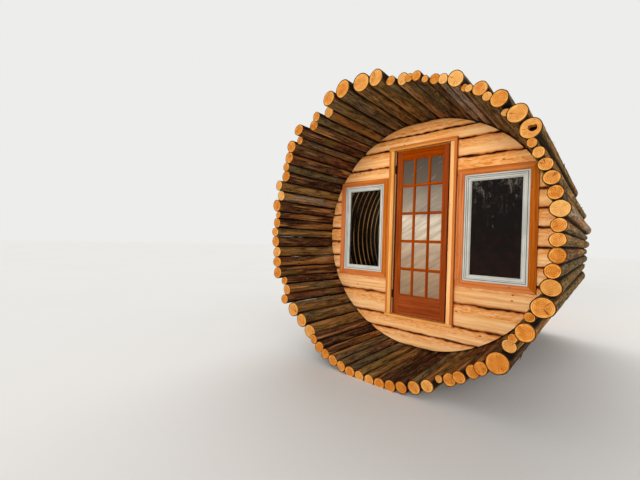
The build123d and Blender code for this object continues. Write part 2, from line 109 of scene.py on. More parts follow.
def tube(rings, end_faces="fan"):
    """Quads between rings, and closed ends. A fan joins an end ring to its middle; strips join the front
    half of the ring to its back half, point by point."""
    rows, columns, _ = rings.shape
    points = rings.reshape(rows * columns, -1)
    quads = ring_quads(rows, columns)
    first = np.arange(columns)
    last = first + (rows - 1) * columns
    if end_faces == "fan":
        points = np.concatenate([points, rings[[0, -1]].mean(axis=1)])
        nose, tail = rows * columns, rows * columns + 1
        ends = [np.stack([np.full(columns, nose), np.roll(first, -1), first], axis=-1)]
        ends.append(np.stack([np.full(columns, tail), last, np.roll(last, -1)], axis=-1))
        return {"points": points, "faces": [quads, np.concatenate(ends)]}
    pair = np.arange(columns // 2 - 1)
    strip = np.stack([pair, columns - 1 - pair, columns - 2 - pair, pair + 1], axis=-1)
    return {"points": points, "faces": [quads, strip, strip[:, ::-1] + last[0]]}


print("faces of a skin of 4 rings of 8 points:", sum(map(len, tube(np.zeros((4, 8, 8)))["faces"])))

# %% [markdown]
# The casing of the real door is three boards, and here they become one mesh. A mesh could be built face by
# face, but Blender also takes whole arrays at once, and that is many times faster. The wood place, the tone
# and the mark go in as attributes, because a material can read those by name.

# %% Write shapes into a mesh
def joined_mesh(name, shapes):
    """Mesh of several shapes, and its triangles: a face of n corners counts as n - 2. The point numbers of
    a shape are moved up by all the points before it."""
    starts = np.cumsum([0] + [len(each["points"]) for each in shapes])
    faces = [face + start for each, start in zip(shapes, starts) for face in each["faces"]]
    slots = [slot for each in shapes for slot in each.get("finish", [0] * len(each["faces"]))]
    sizes = np.concatenate([np.full(len(face), face.shape[1]) for face in faces])
    slot_of_face = np.concatenate([np.full(len(face), slot) for face, slot in zip(faces, slots)])
    points = np.concatenate([each["points"] for each in shapes]).astype(np.float32)
    corners = np.concatenate([face.ravel() for face in faces])
    mesh = bpy.data.meshes.new(name)
    mesh.vertices.add(len(points))
    mesh.vertices.foreach_set("co", points[:, :3].ravel())
    mesh.loops.add(len(corners))
    mesh.loops.foreach_set("vertex_index", corners)
    mesh.polygons.add(len(sizes))
    mesh.polygons.foreach_set("loop_start", np.cumsum(sizes) - sizes)
    mesh.polygons.foreach_set("material_index", slot_of_face.astype(np.int32))
    mesh.update(calc_edges=True)
    grain = mesh.attributes.new("grain", "FLOAT_VECTOR", "POINT")
    grain.data.foreach_set("vector", points[:, 3:6].ravel())
    for column, attribute in ((6, "tone"), (7, "mark")):
        values = np.ascontiguousarray(points[:, column])
        mesh.attributes.new(attribute, "FLOAT", "POINT").data.foreach_set("value", values)
    return mesh, int((sizes - 2).sum())


print("meshes before the first new piece:", len(bpy.data.meshes))

# %% [markdown]
# Faces have to look outwards, and an edge should look sharp only where the real piece turns. Both can be set
# by hand in the editor, but one function does it alike for every piece. It turns the faces out, shades them
# smooth below an angle, hangs the piece on the body it rides on, and hides the imported nodes it stands for.

# %% Make an object
triangles_made = []


def piece(name, shapes, finishes, stands_for, body="root", crease=40):
    """Join shapes into one object. Edges that turn more than crease degrees stay sharp."""
    mesh, triangles = joined_mesh(name, shapes)
    work = bmesh.new()
    work.from_mesh(mesh)
    bmesh.ops.recalc_face_normals(work, faces=work.faces)
    work.to_mesh(mesh)
    work.free()
    mesh.polygons.foreach_set("use_smooth", np.ones(len(mesh.polygons), bool))
    mesh.set_sharp_from_angle(angle=radians(crease))
    made = bpy.data.objects.new(name, mesh)
    bpy.context.scene.collection.objects.link(made)
    for finish in finishes:
        mesh.materials.append(finish)
    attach(made, body)
    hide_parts(*stands_for)
    triangles_made.append(triangles)
    print(f"{name}: {triangles} triangles")


print("pieces made so far:", len(triangles_made))

# %% [markdown]
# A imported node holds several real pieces, such as ten logs or six slabs, and a detailed piece is laid over
# each of them. Blender can separate loose parts into new objects, but here only their points are needed. So
# points that share a triangle get one label, and the labels spread until each solid has one of its own.

# %% Split a node into its separate solids
def solids(node):
    """Points of each solid. Labels start different, and the lowest one of every triangle spreads."""
    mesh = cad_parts[node].data
    points = np.empty(len(mesh.vertices) * 3, np.float32)
    mesh.vertices.foreach_get("co", points)
    corners = np.empty(len(mesh.loops), np.int32)
    mesh.loops.foreach_get("vertex_index", corners)
    found, same = np.unique(np.round(points.reshape(-1, 3), 5), axis=0, return_inverse=True)
    triangles = same.ravel()[corners].reshape(-1, 3)
    label = np.arange(len(found))
    while True:
        lowest = np.repeat(label[triangles].min(axis=1), 3)
        spread = label.copy()
        np.minimum.at(spread, triangles.ravel(), lowest)
        if (spread == label).all():
            return [found[label == each].astype(float) for each in np.unique(label)]
        label = spread


print("slabs in the rear wall:", len(solids("rear_wall")))

# %% [markdown]
# A paint chart gives a colour as an sRGB hex value, but Blender reckons in linear light. The editor's colour
# picker turns one into the other, and here one function does. A maker also knows a pattern by its size in
# millimetres, so two small functions turn such a size into the scale of a texture.

# %% Colours and sizes
def linear(code):
    """Linear RGBA of an sRGB hex code: c / 12.92 when dark, else ((c + 0.055) / 1.055) ** 2.4."""
    channel = np.array([int(code[place:place + 2], 16) for place in (1, 3, 5)]) / 255
    light = np.where(channel <= 0.04045, channel / 12.92, ((channel + 0.055) / 1.055) ** 2.4)
    return (*light, 1.0)


def noise_scale(millimetres):
    """Scale of a noise or cell pattern whose spots are this wide: spots per metre, 1000 / width."""
    return 1000 / millimetres


def wave_scale(millimetres):
    """Scale of a wave pattern whose bands are this far apart. At scale 1 they are pi / 10 metres apart."""
    return 100 * pi / millimetres


print("the grey #808080 gives", round(linear("#808080")[0], 3), "of the light of white")

# %% [markdown]
# A finish is a small tree of shader nodes. It can be wired by hand in the shader editor. Written down, it
# can be read from top to bottom, and every finish is made alike. One small function adds any node with its
# settings and links. An input goes by its name or its number. Map Range reads values from input 1 to input
# 2, and gives 0 to 1, or input 3 to input 4. Mix has its share at 0, its numbers at 2 and 3, and its colours
# at 6 and 7. What is the same all over a surface is set on the shader itself.

# %% Nodes and materials
def put(tree, kind, sockets=None, stops=None, out=0, **settings):
    """Add one node and give its output. Settings are its own choices. Sockets are its inputs: an output is
    linked, a hex colour is turned to light, any other value is set. Stops are a ramp's places and colours."""
    node = tree.nodes.new(kind)
    for name, value in settings.items():
        setattr(node, name, value)
    for name, value in (sockets or {}).items():
        if isinstance(value, bpy.types.NodeSocket):
            tree.links.new(value, node.inputs[name])
        else:
            node.inputs[name].default_value = linear(value) if isinstance(value, str) else value
    if stops:
        ramp = node.color_ramp.elements
        for element, (place, code) in zip(ramp, (stops[0], stops[-1])):
            element.position, element.color = place, linear(code)
        for place, code in stops[1:-1]:
            ramp.new(place).color = linear(code)
    return node.outputs[out]


def start_material(name, **values):
    """New material, with what is the same all over set on its shader. Gives it, its tree and its shader."""
    material = bpy.data.materials.new(name)
    material.use_nodes = True
    shader = material.node_tree.nodes["Principled BSDF"]
    for socket, value in values.items():
        shader.inputs[socket.replace("_", " ")].default_value = value
    return material, material.node_tree, shader


def finish_material(material, tree, shader, colour, height, depth):
    """Link the colour, and let a height up to depth metres tilt the light."""
    tree.links.new(colour, shader.inputs["Base Color"])
    relief = put(tree, "ShaderNodeBump", {"Height": height, "Distance": depth})
    tree.links.new(relief, shader.inputs["Normal"])
    return material


print("materials before the first finish:", len(bpy.data.materials))

# %% [markdown]
# Every board was cut from its own place in a tree, so its pattern has to run with it and differ from its
# neighbour's. A picture of wood could be laid on with a UV map, but it would repeat and stretch. Instead the
# patterns fill space, and each point reads them at its own place in the wood. A packed board has no such
# place, so its place in the object is used, turned so that x runs along the grain.

# %% Find a point's place in the wood
def wood_place(tree, along):
    """Where a point lies in its plank, x along the grain: its own attribute, or turned object places."""
    if along is None:
        return put(tree, "ShaderNodeAttribute", out="Vector", attribute_name="grain")
    place = put(tree, "ShaderNodeTexCoord", out="Object")
    split = put(tree, "ShaderNodeSeparateXYZ", {0: place}).node
    order = {"X": (0, 1, 2), "Y": (1, 2, 0), "Z": (2, 0, 1)}[along]
    sockets = {axis: split.outputs[source] for axis, source in enumerate(order)}
    return put(tree, "ShaderNodeCombineXYZ", sockets)


for node in ("window_posts", "floor_boards", "floor_joists"):
    board = solids(node)[0]
    print("one of", node, "along X, Y and Z:", (board.max(axis=0) - board.min(axis=0)).round(3).tolist())

# %% [markdown]
# Sawn cedar is a warm, open-grained softwood. Its rings show as long flames where the saw runs along them,
# between straight streaks of darker late wood, and parts of the heartwood blush red. Lines could be drawn,
# but noise that is stretched along the grain is uneven in the way that growth is. Rings of a few millimetres
# are too fine for the picture, so they are drawn about 30 mm apart.

# %% Figure of softwood
# Each pattern has its width in millimetres, and its width as a share of its length.
STREAKS, CLOUDS = (26, 0.030), (300, 0.30)
FLAME_SHARE = 0.10  # flames are as wide as the rings lie apart


def wood_figure(tree, place, ring, flame):
    """Figure = streaks, with a share of flames, and then 0.30 of clouds. Gives the figure, its streaks and
    its clouds. Flames are rings of a wave pattern, bent by noise."""
    drawn = put(tree, "ShaderNodeVectorMath", {0: place, 1: (FLAME_SHARE, 1.0, 1.0)}, operation="MULTIPLY")
    rings = {"Vector": drawn, "Scale": wave_scale(ring), "Distortion": 8.0, "Detail": 4.0,
             "Detail Scale": 1.6, "Detail Roughness": 0.65}
    flames = put(tree, "ShaderNodeTexWave", rings, out=1, wave_type="RINGS", rings_direction="X")
    fibre = put(tree, "ShaderNodeVectorMath", {0: place, 1: (STREAKS[1], 1.0, 1.0)}, operation="MULTIPLY")
    thin = {"Vector": fibre, "Scale": noise_scale(STREAKS[0]), "Detail": 5.0, "Roughness": 0.68}
    streaks = put(tree, "ShaderNodeTexNoise", thin)
    wide = put(tree, "ShaderNodeVectorMath", {0: place, 1: (CLOUDS[1], 1.0, 1.0)}, operation="MULTIPLY")
    clouds = put(tree, "ShaderNodeTexNoise", {"Vector": wide, "Scale": noise_scale(CLOUDS[0]), "Detail": 3.0})
    figure = put(tree, "ShaderNodeMix", {0: flame, 2: streaks, 3: flames}, data_type="FLOAT")
    figure = put(tree, "ShaderNodeMix", {0: 0.30, 2: figure, 3: clouds}, data_type="FLOAT")
    return figure, streaks, clouds


print("times as long as wide: flames", round(1 / FLAME_SHARE), "and streaks", round(1 / STREAKS[1]))

# %% [markdown]
# The half-log slabs of the round walls have two faces in one. Their upper half is crinkled and pinkish,
# where the log was crooked under its bark, and their foot is plain and pale. Two materials on one slab would
# show a line between them. So one material mixes both figures by height, and clouds make the border uneven.

# %% Crinkled upper half of a slab
CRINKLES = (21, 0.26)  # width in millimetres, and width as a share of length


def crinkled_figure(tree, place, figure, clouds, crinkle):
    """Figure = plainer below and crinkled above a border that wanders. Gives it and the share of blush."""
    height = put(tree, "ShaderNodeSeparateXYZ", {0: place}, out=1)
    uneven = put(tree, "ShaderNodeMath", {0: clouds, 1: 0.16, 2: height}, operation="MULTIPLY_ADD")
    upper = put(tree, "ShaderNodeMapRange", {0: uneven, 1: 0.05, 2: 0.10}, interpolation_type="SMOOTHSTEP")
    short = put(tree, "ShaderNodeVectorMath", {0: place, 1: (CRINKLES[1], 1.0, 1.0)}, operation="MULTIPLY")
    wavy = put(tree, "ShaderNodeTexNoise", {"Vector": short, "Scale": noise_scale(CRINKLES[0]),
                                            "Detail": 4.0, "Roughness": 0.62, "Distortion": 1.0})
    wavy = put(tree, "ShaderNodeMapRange", {0: wavy, 1: 0.34, 2: 0.66, 3: 0.20, 4: 0.74})
    crinkled = put(tree, "ShaderNodeMix", {0: crinkle, 2: figure, 3: wavy}, data_type="FLOAT")
    plainer = put(tree, "ShaderNodeMath", {0: figure, 1: 0.6, 2: 0.235}, operation="MULTIPLY_ADD")
    figure = put(tree, "ShaderNodeMix", {0: upper, 2: plainer, 3: crinkled}, data_type="FLOAT")
    return figure, put(tree, "ShaderNodeMath", {0: upper, 1: 0.30, 2: 0.02}, operation="MULTIPLY_ADD")


print("crinkles are", CRINKLES[0], "mm wide and", round(CRINKLES[0] / CRINKLES[1]), "mm long")

# %% [markdown]
# Three things tell one board from the next: knots, a lightness and strength of colour of its own, and what
# is left at its edges, such as bark on a waney edge. Knots could be modelled, but planed ones lie flush with
# the face, so colour is enough. The tone of a board sets its lightness. A point's mark says how near it is
# to a marked edge, and the streaks break the border there into fibres.

# %% Knots, tones and edges
KNOTS_APART = 330  # millimetres from one knot to the next
KNOT_LEAST, KNOT_MORE = 0.012, 0.03  # radius of a knot as a share of that, and what knots add to it


def with_knots(tree, colour, place, knots):
    """Dark spots, longer along the grain, about the middles of the cells of a cell pattern."""
    sparse = put(tree, "ShaderNodeVectorMath", {0: place, 1: (0.6, 1.0, 1.0)}, operation="MULTIPLY")
    apart = {"Vector": sparse, "Scale": noise_scale(KNOTS_APART)}
    far = put(tree, "ShaderNodeTexVoronoi", apart, voronoi_dimensions="2D")
    knot_size = KNOT_LEAST + KNOT_MORE * knots
    inside = put(tree, "ShaderNodeMapRange", {0: far, 1: knot_size, 2: 0.4 * knot_size, 3: 0.0, 4: 0.85},
                 interpolation_type="SMOOTHSTEP")
    return put(tree, "ShaderNodeMix", {0: inside, 6: colour, 7: "#55260E"}, out=2, data_type="RGBA")


def with_tone(tree, colour, vary, strength):
    """Lightness runs from 1 - vary to 1 + vary with the tone of the board, and strength between its two."""
    tone = put(tree, "ShaderNodeAttribute", out="Fac", attribute_name="tone")
    light = put(tree, "ShaderNodeMapRange", {0: tone, 1: 0.0, 2: 1.0, 3: 1 - vary, 4: 1 + vary})
    strong = put(tree, "ShaderNodeMapRange", {0: tone, 1: 0.0, 2: 1.0, 3: strength[0], 4: strength[1]})
    hue = {"Hue": 0.5, "Saturation": strong, "Value": light, "Fac": 1.0, "Color": colour}
    return put(tree, "ShaderNodeHueSaturation", hue)


def with_edges(tree, colour, streaks, border, edge):
    """Mark times streaks: above 0.26 the edge colour shows, and from 0.04 on the border colour, if any."""
    mark = put(tree, "ShaderNodeAttribute", out="Fac", attribute_name="mark")
    ragged = put(tree, "ShaderNodeMath", {0: mark, 1: streaks}, operation="MULTIPLY")
    if border:
        near = put(tree, "ShaderNodeMapRange", {0: ragged, 1: 0.04, 2: 0.24, 3: 0.0, 4: 0.75})
        colour = put(tree, "ShaderNodeMix", {0: near, 6: colour, 7: border}, out=2, data_type="RGBA")
    left = put(tree, "ShaderNodeMapRange", {0: ragged, 1: 0.26, 2: 0.42}, interpolation_type="SMOOTHSTEP")
    return put(tree, "ShaderNodeMix", {0: left, 6: colour, 7: edge}, out=2, data_type="RGBA")


print("the smallest knot is", round(2 * KNOT_LEAST * KNOTS_APART), "mm across")

# %% [markdown]
# The real boards differ in how they were cut, not in what they are, so one function makes the finish of all
# of them from their colours and a few choices. Wood is not a metal, and its IOR is about 1.45. Its surface
# is open and dry, so its roughness is high and its mirror light low.

# %% Softwood
WOOD_RELIEF = 0.0012


def wood(name, stops, ring=30, knots=0.35, along=None, rough=0.62, edge="#33190B", blush="#C9702C",
         border=None, vary=0.06, strength=(0.96, 1.06), gloss=0.10, flame=0.16, crinkle=0.0):
    """Softwood, sawn or planed: matt, with streaks from dark late wood to pale early wood. Boards differ
    in lightness by vary, and in strength of colour. A border colour darkens the wood beside a marked edge.
    Crinkle is the share of short wavy figure in the upper half of a board, over a plainer foot."""
    material, tree, shader = start_material(name, Roughness=rough, IOR=1.45, Specular_IOR_Level=gloss)
    place = wood_place(tree, along)
    figure, streaks, clouds = wood_figure(tree, place, ring, flame)
    if crinkle:
        figure, heart = crinkled_figure(tree, place, figure, clouds, crinkle)
    else:
        heart = put(tree, "ShaderNodeMapRange", {0: clouds, 1: 0.50, 2: 0.72, 3: 0.0, 4: 0.45})
    colour = put(tree, "ShaderNodeValToRGB", {0: figure}, stops=stops)
    colour = put(tree, "ShaderNodeMix", {0: heart, 6: colour, 7: blush}, out=2, data_type="RGBA")
    if knots:
        colour = with_knots(tree, colour, place, knots)
    if along is None:
        colour = with_tone(tree, colour, vary, strength)
        colour = with_edges(tree, colour, streaks, border, edge)
    return finish_material(material, tree, shader, colour, figure, WOOD_RELIEF)


print("the grain of softwood is up to", WOOD_RELIEF * 1000, "mm deep")

# %% [markdown]
# The sauna shows four cedars. The slabs are sawn and pale orange, with bark and painted gap shade on their
# waney edges. The casing is planed and pale, with a redder strip. The trim of the windows is redder and darker
# all over, and the door is oiled, which makes its wood deep and a little smoother. What stands behind them is
# sawn cedar painted dark as shade, behind the gaps of the slabs and inside the room, and floor boards of
# spruce. Each gets colours of its own, because grading one wood into all of them would hide what a maker has
# to choose.

# %% The woods of the sauna
# The slab's edge colour is the bark on its waney edges, and painted shade of the gaps between courses.
slab_colours = [(0.28, "#B06630"), (0.40, "#DB9552"), (0.53, "#F0B87C"), (0.70, "#FCDCAA")]
cedar_slab = wood("sawn_cedar_slab", slab_colours, 36, 0.6, edge="#24130A", blush="#DC8438",
                  border="#C4621A", vary=0.13, strength=(0.99, 1.04), flame=0.19, crinkle=0.5)
pale_colours = [(0.30, "#D89250"), (0.50, "#F4B878"), (0.72, "#FDD4A0")]
pale_board = wood("planed_pale_cedar", pale_colours, 35, 0.15, edge="#C87434", vary=0.12,
                  strength=(1.14, 0.98))
red_colours = [(0.28, "#94420C"), (0.48, "#C2641A"), (0.72, "#E08A3E")]
red_board = wood("planed_red_cedar", red_colours, 30, 0.25, edge="#A04A10", blush="#B25A14",
                 vary=0.18, strength=(1.01, 0.92), gloss=0.06)
# The door's edge colour is painted shade, beside the casing.
door_colours = [(0.28, "#6A2803"), (0.50, "#923B04"), (0.75, "#B4560C")]
door_board = wood("oiled_door_cedar", door_colours, 30, 0.0, rough=0.5, edge="#34140A",
                  blush="#A04404", gloss=0.04)
# Backing and inner boards are painted dark as shade: behind the gaps of the slabs, and inside the room.
backing_board = wood("backing_board_painted_dark", [(0.30, "#2A190C"), (0.70, "#4A2F18")], 30, 0.2, "Z", 0.8)
post_board = wood("sawn_cedar_post", pale_colours, 30, 0.2, "Z")
inner_board = wood("inner_rear_boards", [(0.3, "#3A2413"), (0.7, "#5E3E22")], 30, 0.2, "Z", 0.7)
spruce_colours = [(0.30, "#8C6A45"), (0.50, "#B08C60"), (0.72, "#CDAE82")]
floor_board = wood("floor_spruce", spruce_colours, 30, 0.3, "Y")
joist_board = wood("joist_spruce", [(0.3, "#7C5C3A"), (0.7, "#A98558")], 30, 0.3, "X", 0.8)
print("materials, the packed ones too:", len(bpy.data.materials))

# %% [markdown]
# The logs keep their bark. It is stringy along the log, and it splits into long plates. Modelled strings
# would cost millions of triangles, so the bark's larger waves are modelled later and its strings come from
# noise. Five noises are stretched along the log by different amounts. The strings are 22 mm wide here, and
# three times finer on a real log.

# %% Patterns of bark
# Each pattern has its width in millimetres, its width as a share of its length, and its detail.
BARK_PATTERNS = {"strings": (22, 0.055, 4.0), "plates": (40, 0.20, 4.0), "patches": (120, 0.20, 3.0),
                 "strips": (105, 0.07, 2.0), "specks": (14, 0.5, 2.0)}


def bark_patterns(tree, place):
    """One noise for each pattern of the bark, drawn out along the log."""
    values = {}
    for name, (width, share, detail) in BARK_PATTERNS.items():
        drawn = put(tree, "ShaderNodeVectorMath", {0: place, 1: (1.0, 1.0, share)}, operation="MULTIPLY")
        noise = {"Vector": drawn, "Scale": noise_scale(width), "Detail": detail, "Roughness": 0.62}
        values[name] = put(tree, "ShaderNodeTexNoise", noise)
    return values


for name, (width, share, _) in BARK_PATTERNS.items():
    print(name, "are", width, "mm wide and", round(width / share), "mm long")

# %% [markdown]
# From log to log the bark changes: nearly black, mahogany, olive brown, golden brown, and grey where it has
# weathered. One material with a ramp for all of them is easier to keep than five, so the tone of a log picks
# its colour. A crevice runs wherever the strings pass their middle value, which makes it a thin line painted
# black, partly as painted shade, and pale fibres stand where they are highest, partly a painted highlight.

# %% Ground colour of bark
BARK_KINDS = [(0.0, "#35261D"), (0.16, "#64402C"), (0.32, "#8A5636"), (0.46, "#827050"), (0.60, "#9C7844"),
              (0.76, "#BC8C4E"), (0.97, "#CCC2B4")]


def bark_ground(tree, values, tone):
    """Colour = kind of bark, lighter and darker by plates, black in crevices, partly as painted shade, and pale
    on fibres, partly as a painted highlight. Gives it and how far the strings are from their middle."""
    swing = put(tree, "ShaderNodeMath", {0: values["patches"], 1: 0.44, 2: -0.22}, operation="MULTIPLY_ADD")
    kind = put(tree, "ShaderNodeMath", {0: tone, 1: swing}, operation="ADD")
    colour = put(tree, "ShaderNodeValToRGB", {0: kind}, stops=BARK_KINDS)
    plate = put(tree, "ShaderNodeMapRange", {0: values["plates"], 1: 0.34, 2: 0.66, 3: 0.50, 4: 1.38})
    lit = {"Hue": 0.5, "Saturation": 1.0, "Value": plate, "Fac": 1.0, "Color": colour}
    colour = put(tree, "ShaderNodeHueSaturation", lit)
    off_middle = put(tree, "ShaderNodeMath", {0: values["strings"], 1: 0.5}, operation="SUBTRACT")
    ridge = put(tree, "ShaderNodeMath", {0: off_middle}, operation="ABSOLUTE")
    # Crevices: painted shade, nearly black where the bump sinks.
    crevice_shade = put(tree, "ShaderNodeMapRange", {0: ridge, 1: 0.042, 2: 0.006, 3: 0.0, 4: 0.82})
    colour = put(tree, "ShaderNodeMix", {0: crevice_shade, 6: colour, 7: "#170E08"}, out=2, data_type="RGBA")
    # Pale fibres: partly a painted highlight on the raised strings.
    fibre = put(tree, "ShaderNodeMapRange", {0: values["strings"], 1: 0.56, 2: 0.66, 3: 0.0, 4: 0.65})
    colour = put(tree, "ShaderNodeMix", {0: fibre, 6: colour, 7: "#B9925F"}, out=2, data_type="RGBA")
    return colour, ridge


print("kinds of bark:", len(BARK_KINDS))

# %% [markdown]
# Handling and weather have marked the logs. Strips have peeled down to orange wood, moss has begun in
# places, and chips of pale wood stick in the bark. Where two logs meet, the joint is painted nearly black, as
# painted shade and some dirt. Cut branches have left a dark ring round a pale stub. Each could be a piece of
# its own, but they are flat, so each is one colour laid over the last where its pattern or the point's mark
# is high enough.

# %% Marks on bark
# Painted shade and dirt in the joint with a neighbour, ring round a branch, and its stub: the mark at which
# each starts and is full, how much it covers, and its colour. A mark goes from -1 in a joint, over 0 on plain
# bark, to 1 on a branch.
MARKS_BY_PLACE = ((-0.15, -0.85, 0.92, "#0D0805"), (0.45, 0.75, 1.0, "#1D120B"), (0.80, 0.95, 1.0, "#A86A30"))


def bark_marks(tree, values, tone, mark, colour):
    """Peeled strips, moss, specks by noise; painted shade of joints, branch ring, stub by the point's mark."""
    share = put(tree, "ShaderNodeMath", {0: tone, 1: 0.06, 2: values["strips"]}, operation="MULTIPLY_ADD")
    bare = put(tree, "ShaderNodeMapRange", {0: share, 1: 0.62, 2: 0.65, 3: 0.0, 4: 0.9})
    wood_stops = [(0.35, "#7E4A22"), (0.50, "#B87C40"), (0.65, "#DCA868")]
    bare_wood = put(tree, "ShaderNodeValToRGB", {0: values["strings"]}, stops=wood_stops)
    colour = put(tree, "ShaderNodeMix", {0: bare, 6: colour, 7: bare_wood}, out=2, data_type="RGBA")
    green = put(tree, "ShaderNodeMath", {0: values["plates"], 1: values["patches"]}, operation="ADD")
    moss = put(tree, "ShaderNodeMapRange", {0: green, 1: 1.12, 2: 1.25, 3: 0.0, 4: 0.6})
    colour = put(tree, "ShaderNodeMix", {0: moss, 6: colour, 7: "#77702C"}, out=2, data_type="RGBA")
    speck = put(tree, "ShaderNodeMapRange", {0: values["specks"], 1: 0.68, 2: 0.74, 3: 0.0, 4: 0.7})
    colour = put(tree, "ShaderNodeMix", {0: speck, 6: colour, 7: "#CDB795"}, out=2, data_type="RGBA")
    for start, full, most, code in MARKS_BY_PLACE:
        here = put(tree, "ShaderNodeMapRange", {0: mark, 1: start, 2: full, 4: most},
                   interpolation_type="SMOOTHSTEP")
        colour = put(tree, "ShaderNodeMix", {0: here, 6: colour, 7: code}, out=2, data_type="RGBA")
    return colour


print("marks that follow the mesh:", len(MARKS_BY_PLACE))

# %% [markdown]
# Dry bark swallows light. It could be given a soft cloth-like sheen for its fibres, but that would be lost
# among the crevices. So it simply has the highest roughness on the sauna, nearly no mirror light and a deep
# relief, in which crevices sink and plates stand up.

# %% Bark
BARK_RELIEF = 0.006


def stringy_bark():
    """Dry bark of cedar: matt, fibrous, with black crevices, pale loose fibres and peeled strips."""
    material, tree, shader = start_material("stringy_bark", Roughness=0.92, IOR=1.4, Specular_IOR_Level=0.08)
    place = put(tree, "ShaderNodeAttribute", out="Vector", attribute_name="grain")
    tone = put(tree, "ShaderNodeAttribute", out="Fac", attribute_name="tone")
    mark = put(tree, "ShaderNodeAttribute", out="Fac", attribute_name="mark")
    values = bark_patterns(tree, place)
    colour, ridge = bark_ground(tree, values, tone)
    colour = bark_marks(tree, values, tone, mark, colour)
    sunk = put(tree, "ShaderNodeMapRange", {0: ridge, 1: 0.0, 2: 0.08})
    height = put(tree, "ShaderNodeMix", {0: 0.5, 2: sunk, 3: values["plates"]}, data_type="FLOAT")
    return finish_material(material, tree, shader, colour, height, BARK_RELIEF)


log_bark = stringy_bark()
print("bark:", log_bark.name, "with", len(log_bark.node_tree.nodes), "nodes")

# %% [markdown]
# Drying opens cracks in a sawn end, and they run straight outwards from the heart. They could be cut into
# the mesh, but they are a millimetre wide, so a dark colour shows them as well. Noise that is read on the
# direction from the heart alone is the same along each ray, and a crack is where it passes its middle.

# %% Drying cracks
CRACKS_FULL, CRACKS_END = 0.6, 0.85  # shares of the radius


def drying_cracks(tree, place, out):
    """Share of crack: direction = place over its length, moved apart for each log, then noise of it."""
    flat = put(tree, "ShaderNodeVectorMath", {0: place, 1: (1.0, 1.0, 0.0)}, operation="MULTIPLY")
    direction = put(tree, "ShaderNodeVectorMath", {0: flat}, operation="NORMALIZE")
    which_log = put(tree, "ShaderNodeSeparateXYZ", {0: place}, out=2)
    apart = put(tree, "ShaderNodeCombineXYZ", {2: which_log})
    ray = put(tree, "ShaderNodeVectorMath", {0: direction, 1: apart}, operation="ADD")
    fan = put(tree, "ShaderNodeTexNoise", {"Vector": ray, "Scale": 1.5, "Detail": 1.0})
    split = put(tree, "ShaderNodeMath", {0: fan, 1: 0.5}, operation="SUBTRACT")
    crack = put(tree, "ShaderNodeMath", {0: split}, operation="ABSOLUTE")
    open_here = put(tree, "ShaderNodeMapRange", {0: crack, 1: 0.012, 2: 0.005, 3: 0.0, 4: 0.75})
    inner = put(tree, "ShaderNodeMapRange", {0: out, 1: CRACKS_END, 2: CRACKS_FULL})
    return put(tree, "ShaderNodeMath", {0: open_here, 1: inner}, operation="MULTIPLY")


print("cracks end", round((1 - CRACKS_END) * 100), "mm from the bark on a log of 100 mm radius")

# %% [markdown]
# A sawn log end shows orange heartwood, paler sapwood and a thin dark rim of bark. Its rings are close
# circles, drawn 12 mm apart so that they show, and sap has stained it in blots. The mark of a point is its
# share of the radius, 0 at the heart and 1 at the bark, so heart and rim can be coloured by it. Some ends
# are paler and some are amber, and the tone of the log says which.

# %% Sawn log ends
END_COLOURS = [(0.28, "#8E4814"), (0.42, "#BC7024"), (0.55, "#D38C3C"), (0.68, "#E0A658"), (0.82, "#E8C080")]
END_RELIEF = 0.0015


def sawn_end():
    """End grain of cedar: matt, thirsty and saturated, because light sinks into the open pores."""
    material, tree, shader = start_material("sawn_log_end", Roughness=0.8, IOR=1.45, Specular_IOR_Level=0.08)
    place = put(tree, "ShaderNodeAttribute", out="Vector", attribute_name="grain")
    tone = put(tree, "ShaderNodeAttribute", out="Fac", attribute_name="tone")
    out = put(tree, "ShaderNodeAttribute", out="Fac", attribute_name="mark")
    circles = {"Vector": place, "Scale": wave_scale(12), "Distortion": 2.2, "Detail": 2.0,
               "Detail Scale": 0.6}
    rings = put(tree, "ShaderNodeTexWave", circles, out=1, wave_type="RINGS", rings_direction="Z")
    blots = {"Vector": place, "Scale": noise_scale(42), "Detail": 4.0, "Roughness": 0.6}
    stain = put(tree, "ShaderNodeTexNoise", blots)
    figure = put(tree, "ShaderNodeMix", {0: 0.78, 2: rings, 3: stain}, data_type="FLOAT")
    colour = put(tree, "ShaderNodeValToRGB", {0: figure}, stops=END_COLOURS)
    heart = put(tree, "ShaderNodeMapRange", {0: out, 1: 0.82, 2: 0.50, 3: 0.0, 4: 0.55},
                interpolation_type="SMOOTHSTEP")
    colour = put(tree, "ShaderNodeMix", {0: heart, 6: colour, 7: "#B5641C"}, out=2, data_type="RGBA")
    pale = put(tree, "ShaderNodeMapRange", {0: tone, 1: 0.45, 2: 0.85, 3: 0.0, 4: 0.5})
    colour = put(tree, "ShaderNodeMix", {0: pale, 6: colour, 7: "#E6B66C"}, out=2, data_type="RGBA")
    amber = put(tree, "ShaderNodeMapRange", {0: tone, 1: 0.34, 2: 0.05, 3: 0.0, 4: 0.6})
    colour = put(tree, "ShaderNodeMix", {0: amber, 6: colour, 7: "#B4681E"}, out=2, data_type="RGBA")
    cracks = drying_cracks(tree, place, out)
    colour = put(tree, "ShaderNodeMix", {0: cracks, 6: colour, 7: "#5A2A0E"}, out=2, data_type="RGBA")
    ragged = put(tree, "ShaderNodeMath", {0: stain, 1: 0.10, 2: out}, operation="MULTIPLY_ADD")
    rim = put(tree, "ShaderNodeMapRange", {0: ragged, 1: 0.93, 2: 0.99}, interpolation_type="SMOOTHSTEP")
    colour = put(tree, "ShaderNodeMix", {0: rim, 6: colour, 7: "#2A170B"}, out=2, data_type="RGBA")
    return finish_material(material, tree, shader, colour, figure, END_RELIEF)


log_end = sawn_end()
print("log ends:", log_end.name, "with", len(log_end.node_tree.nodes), "nodes")

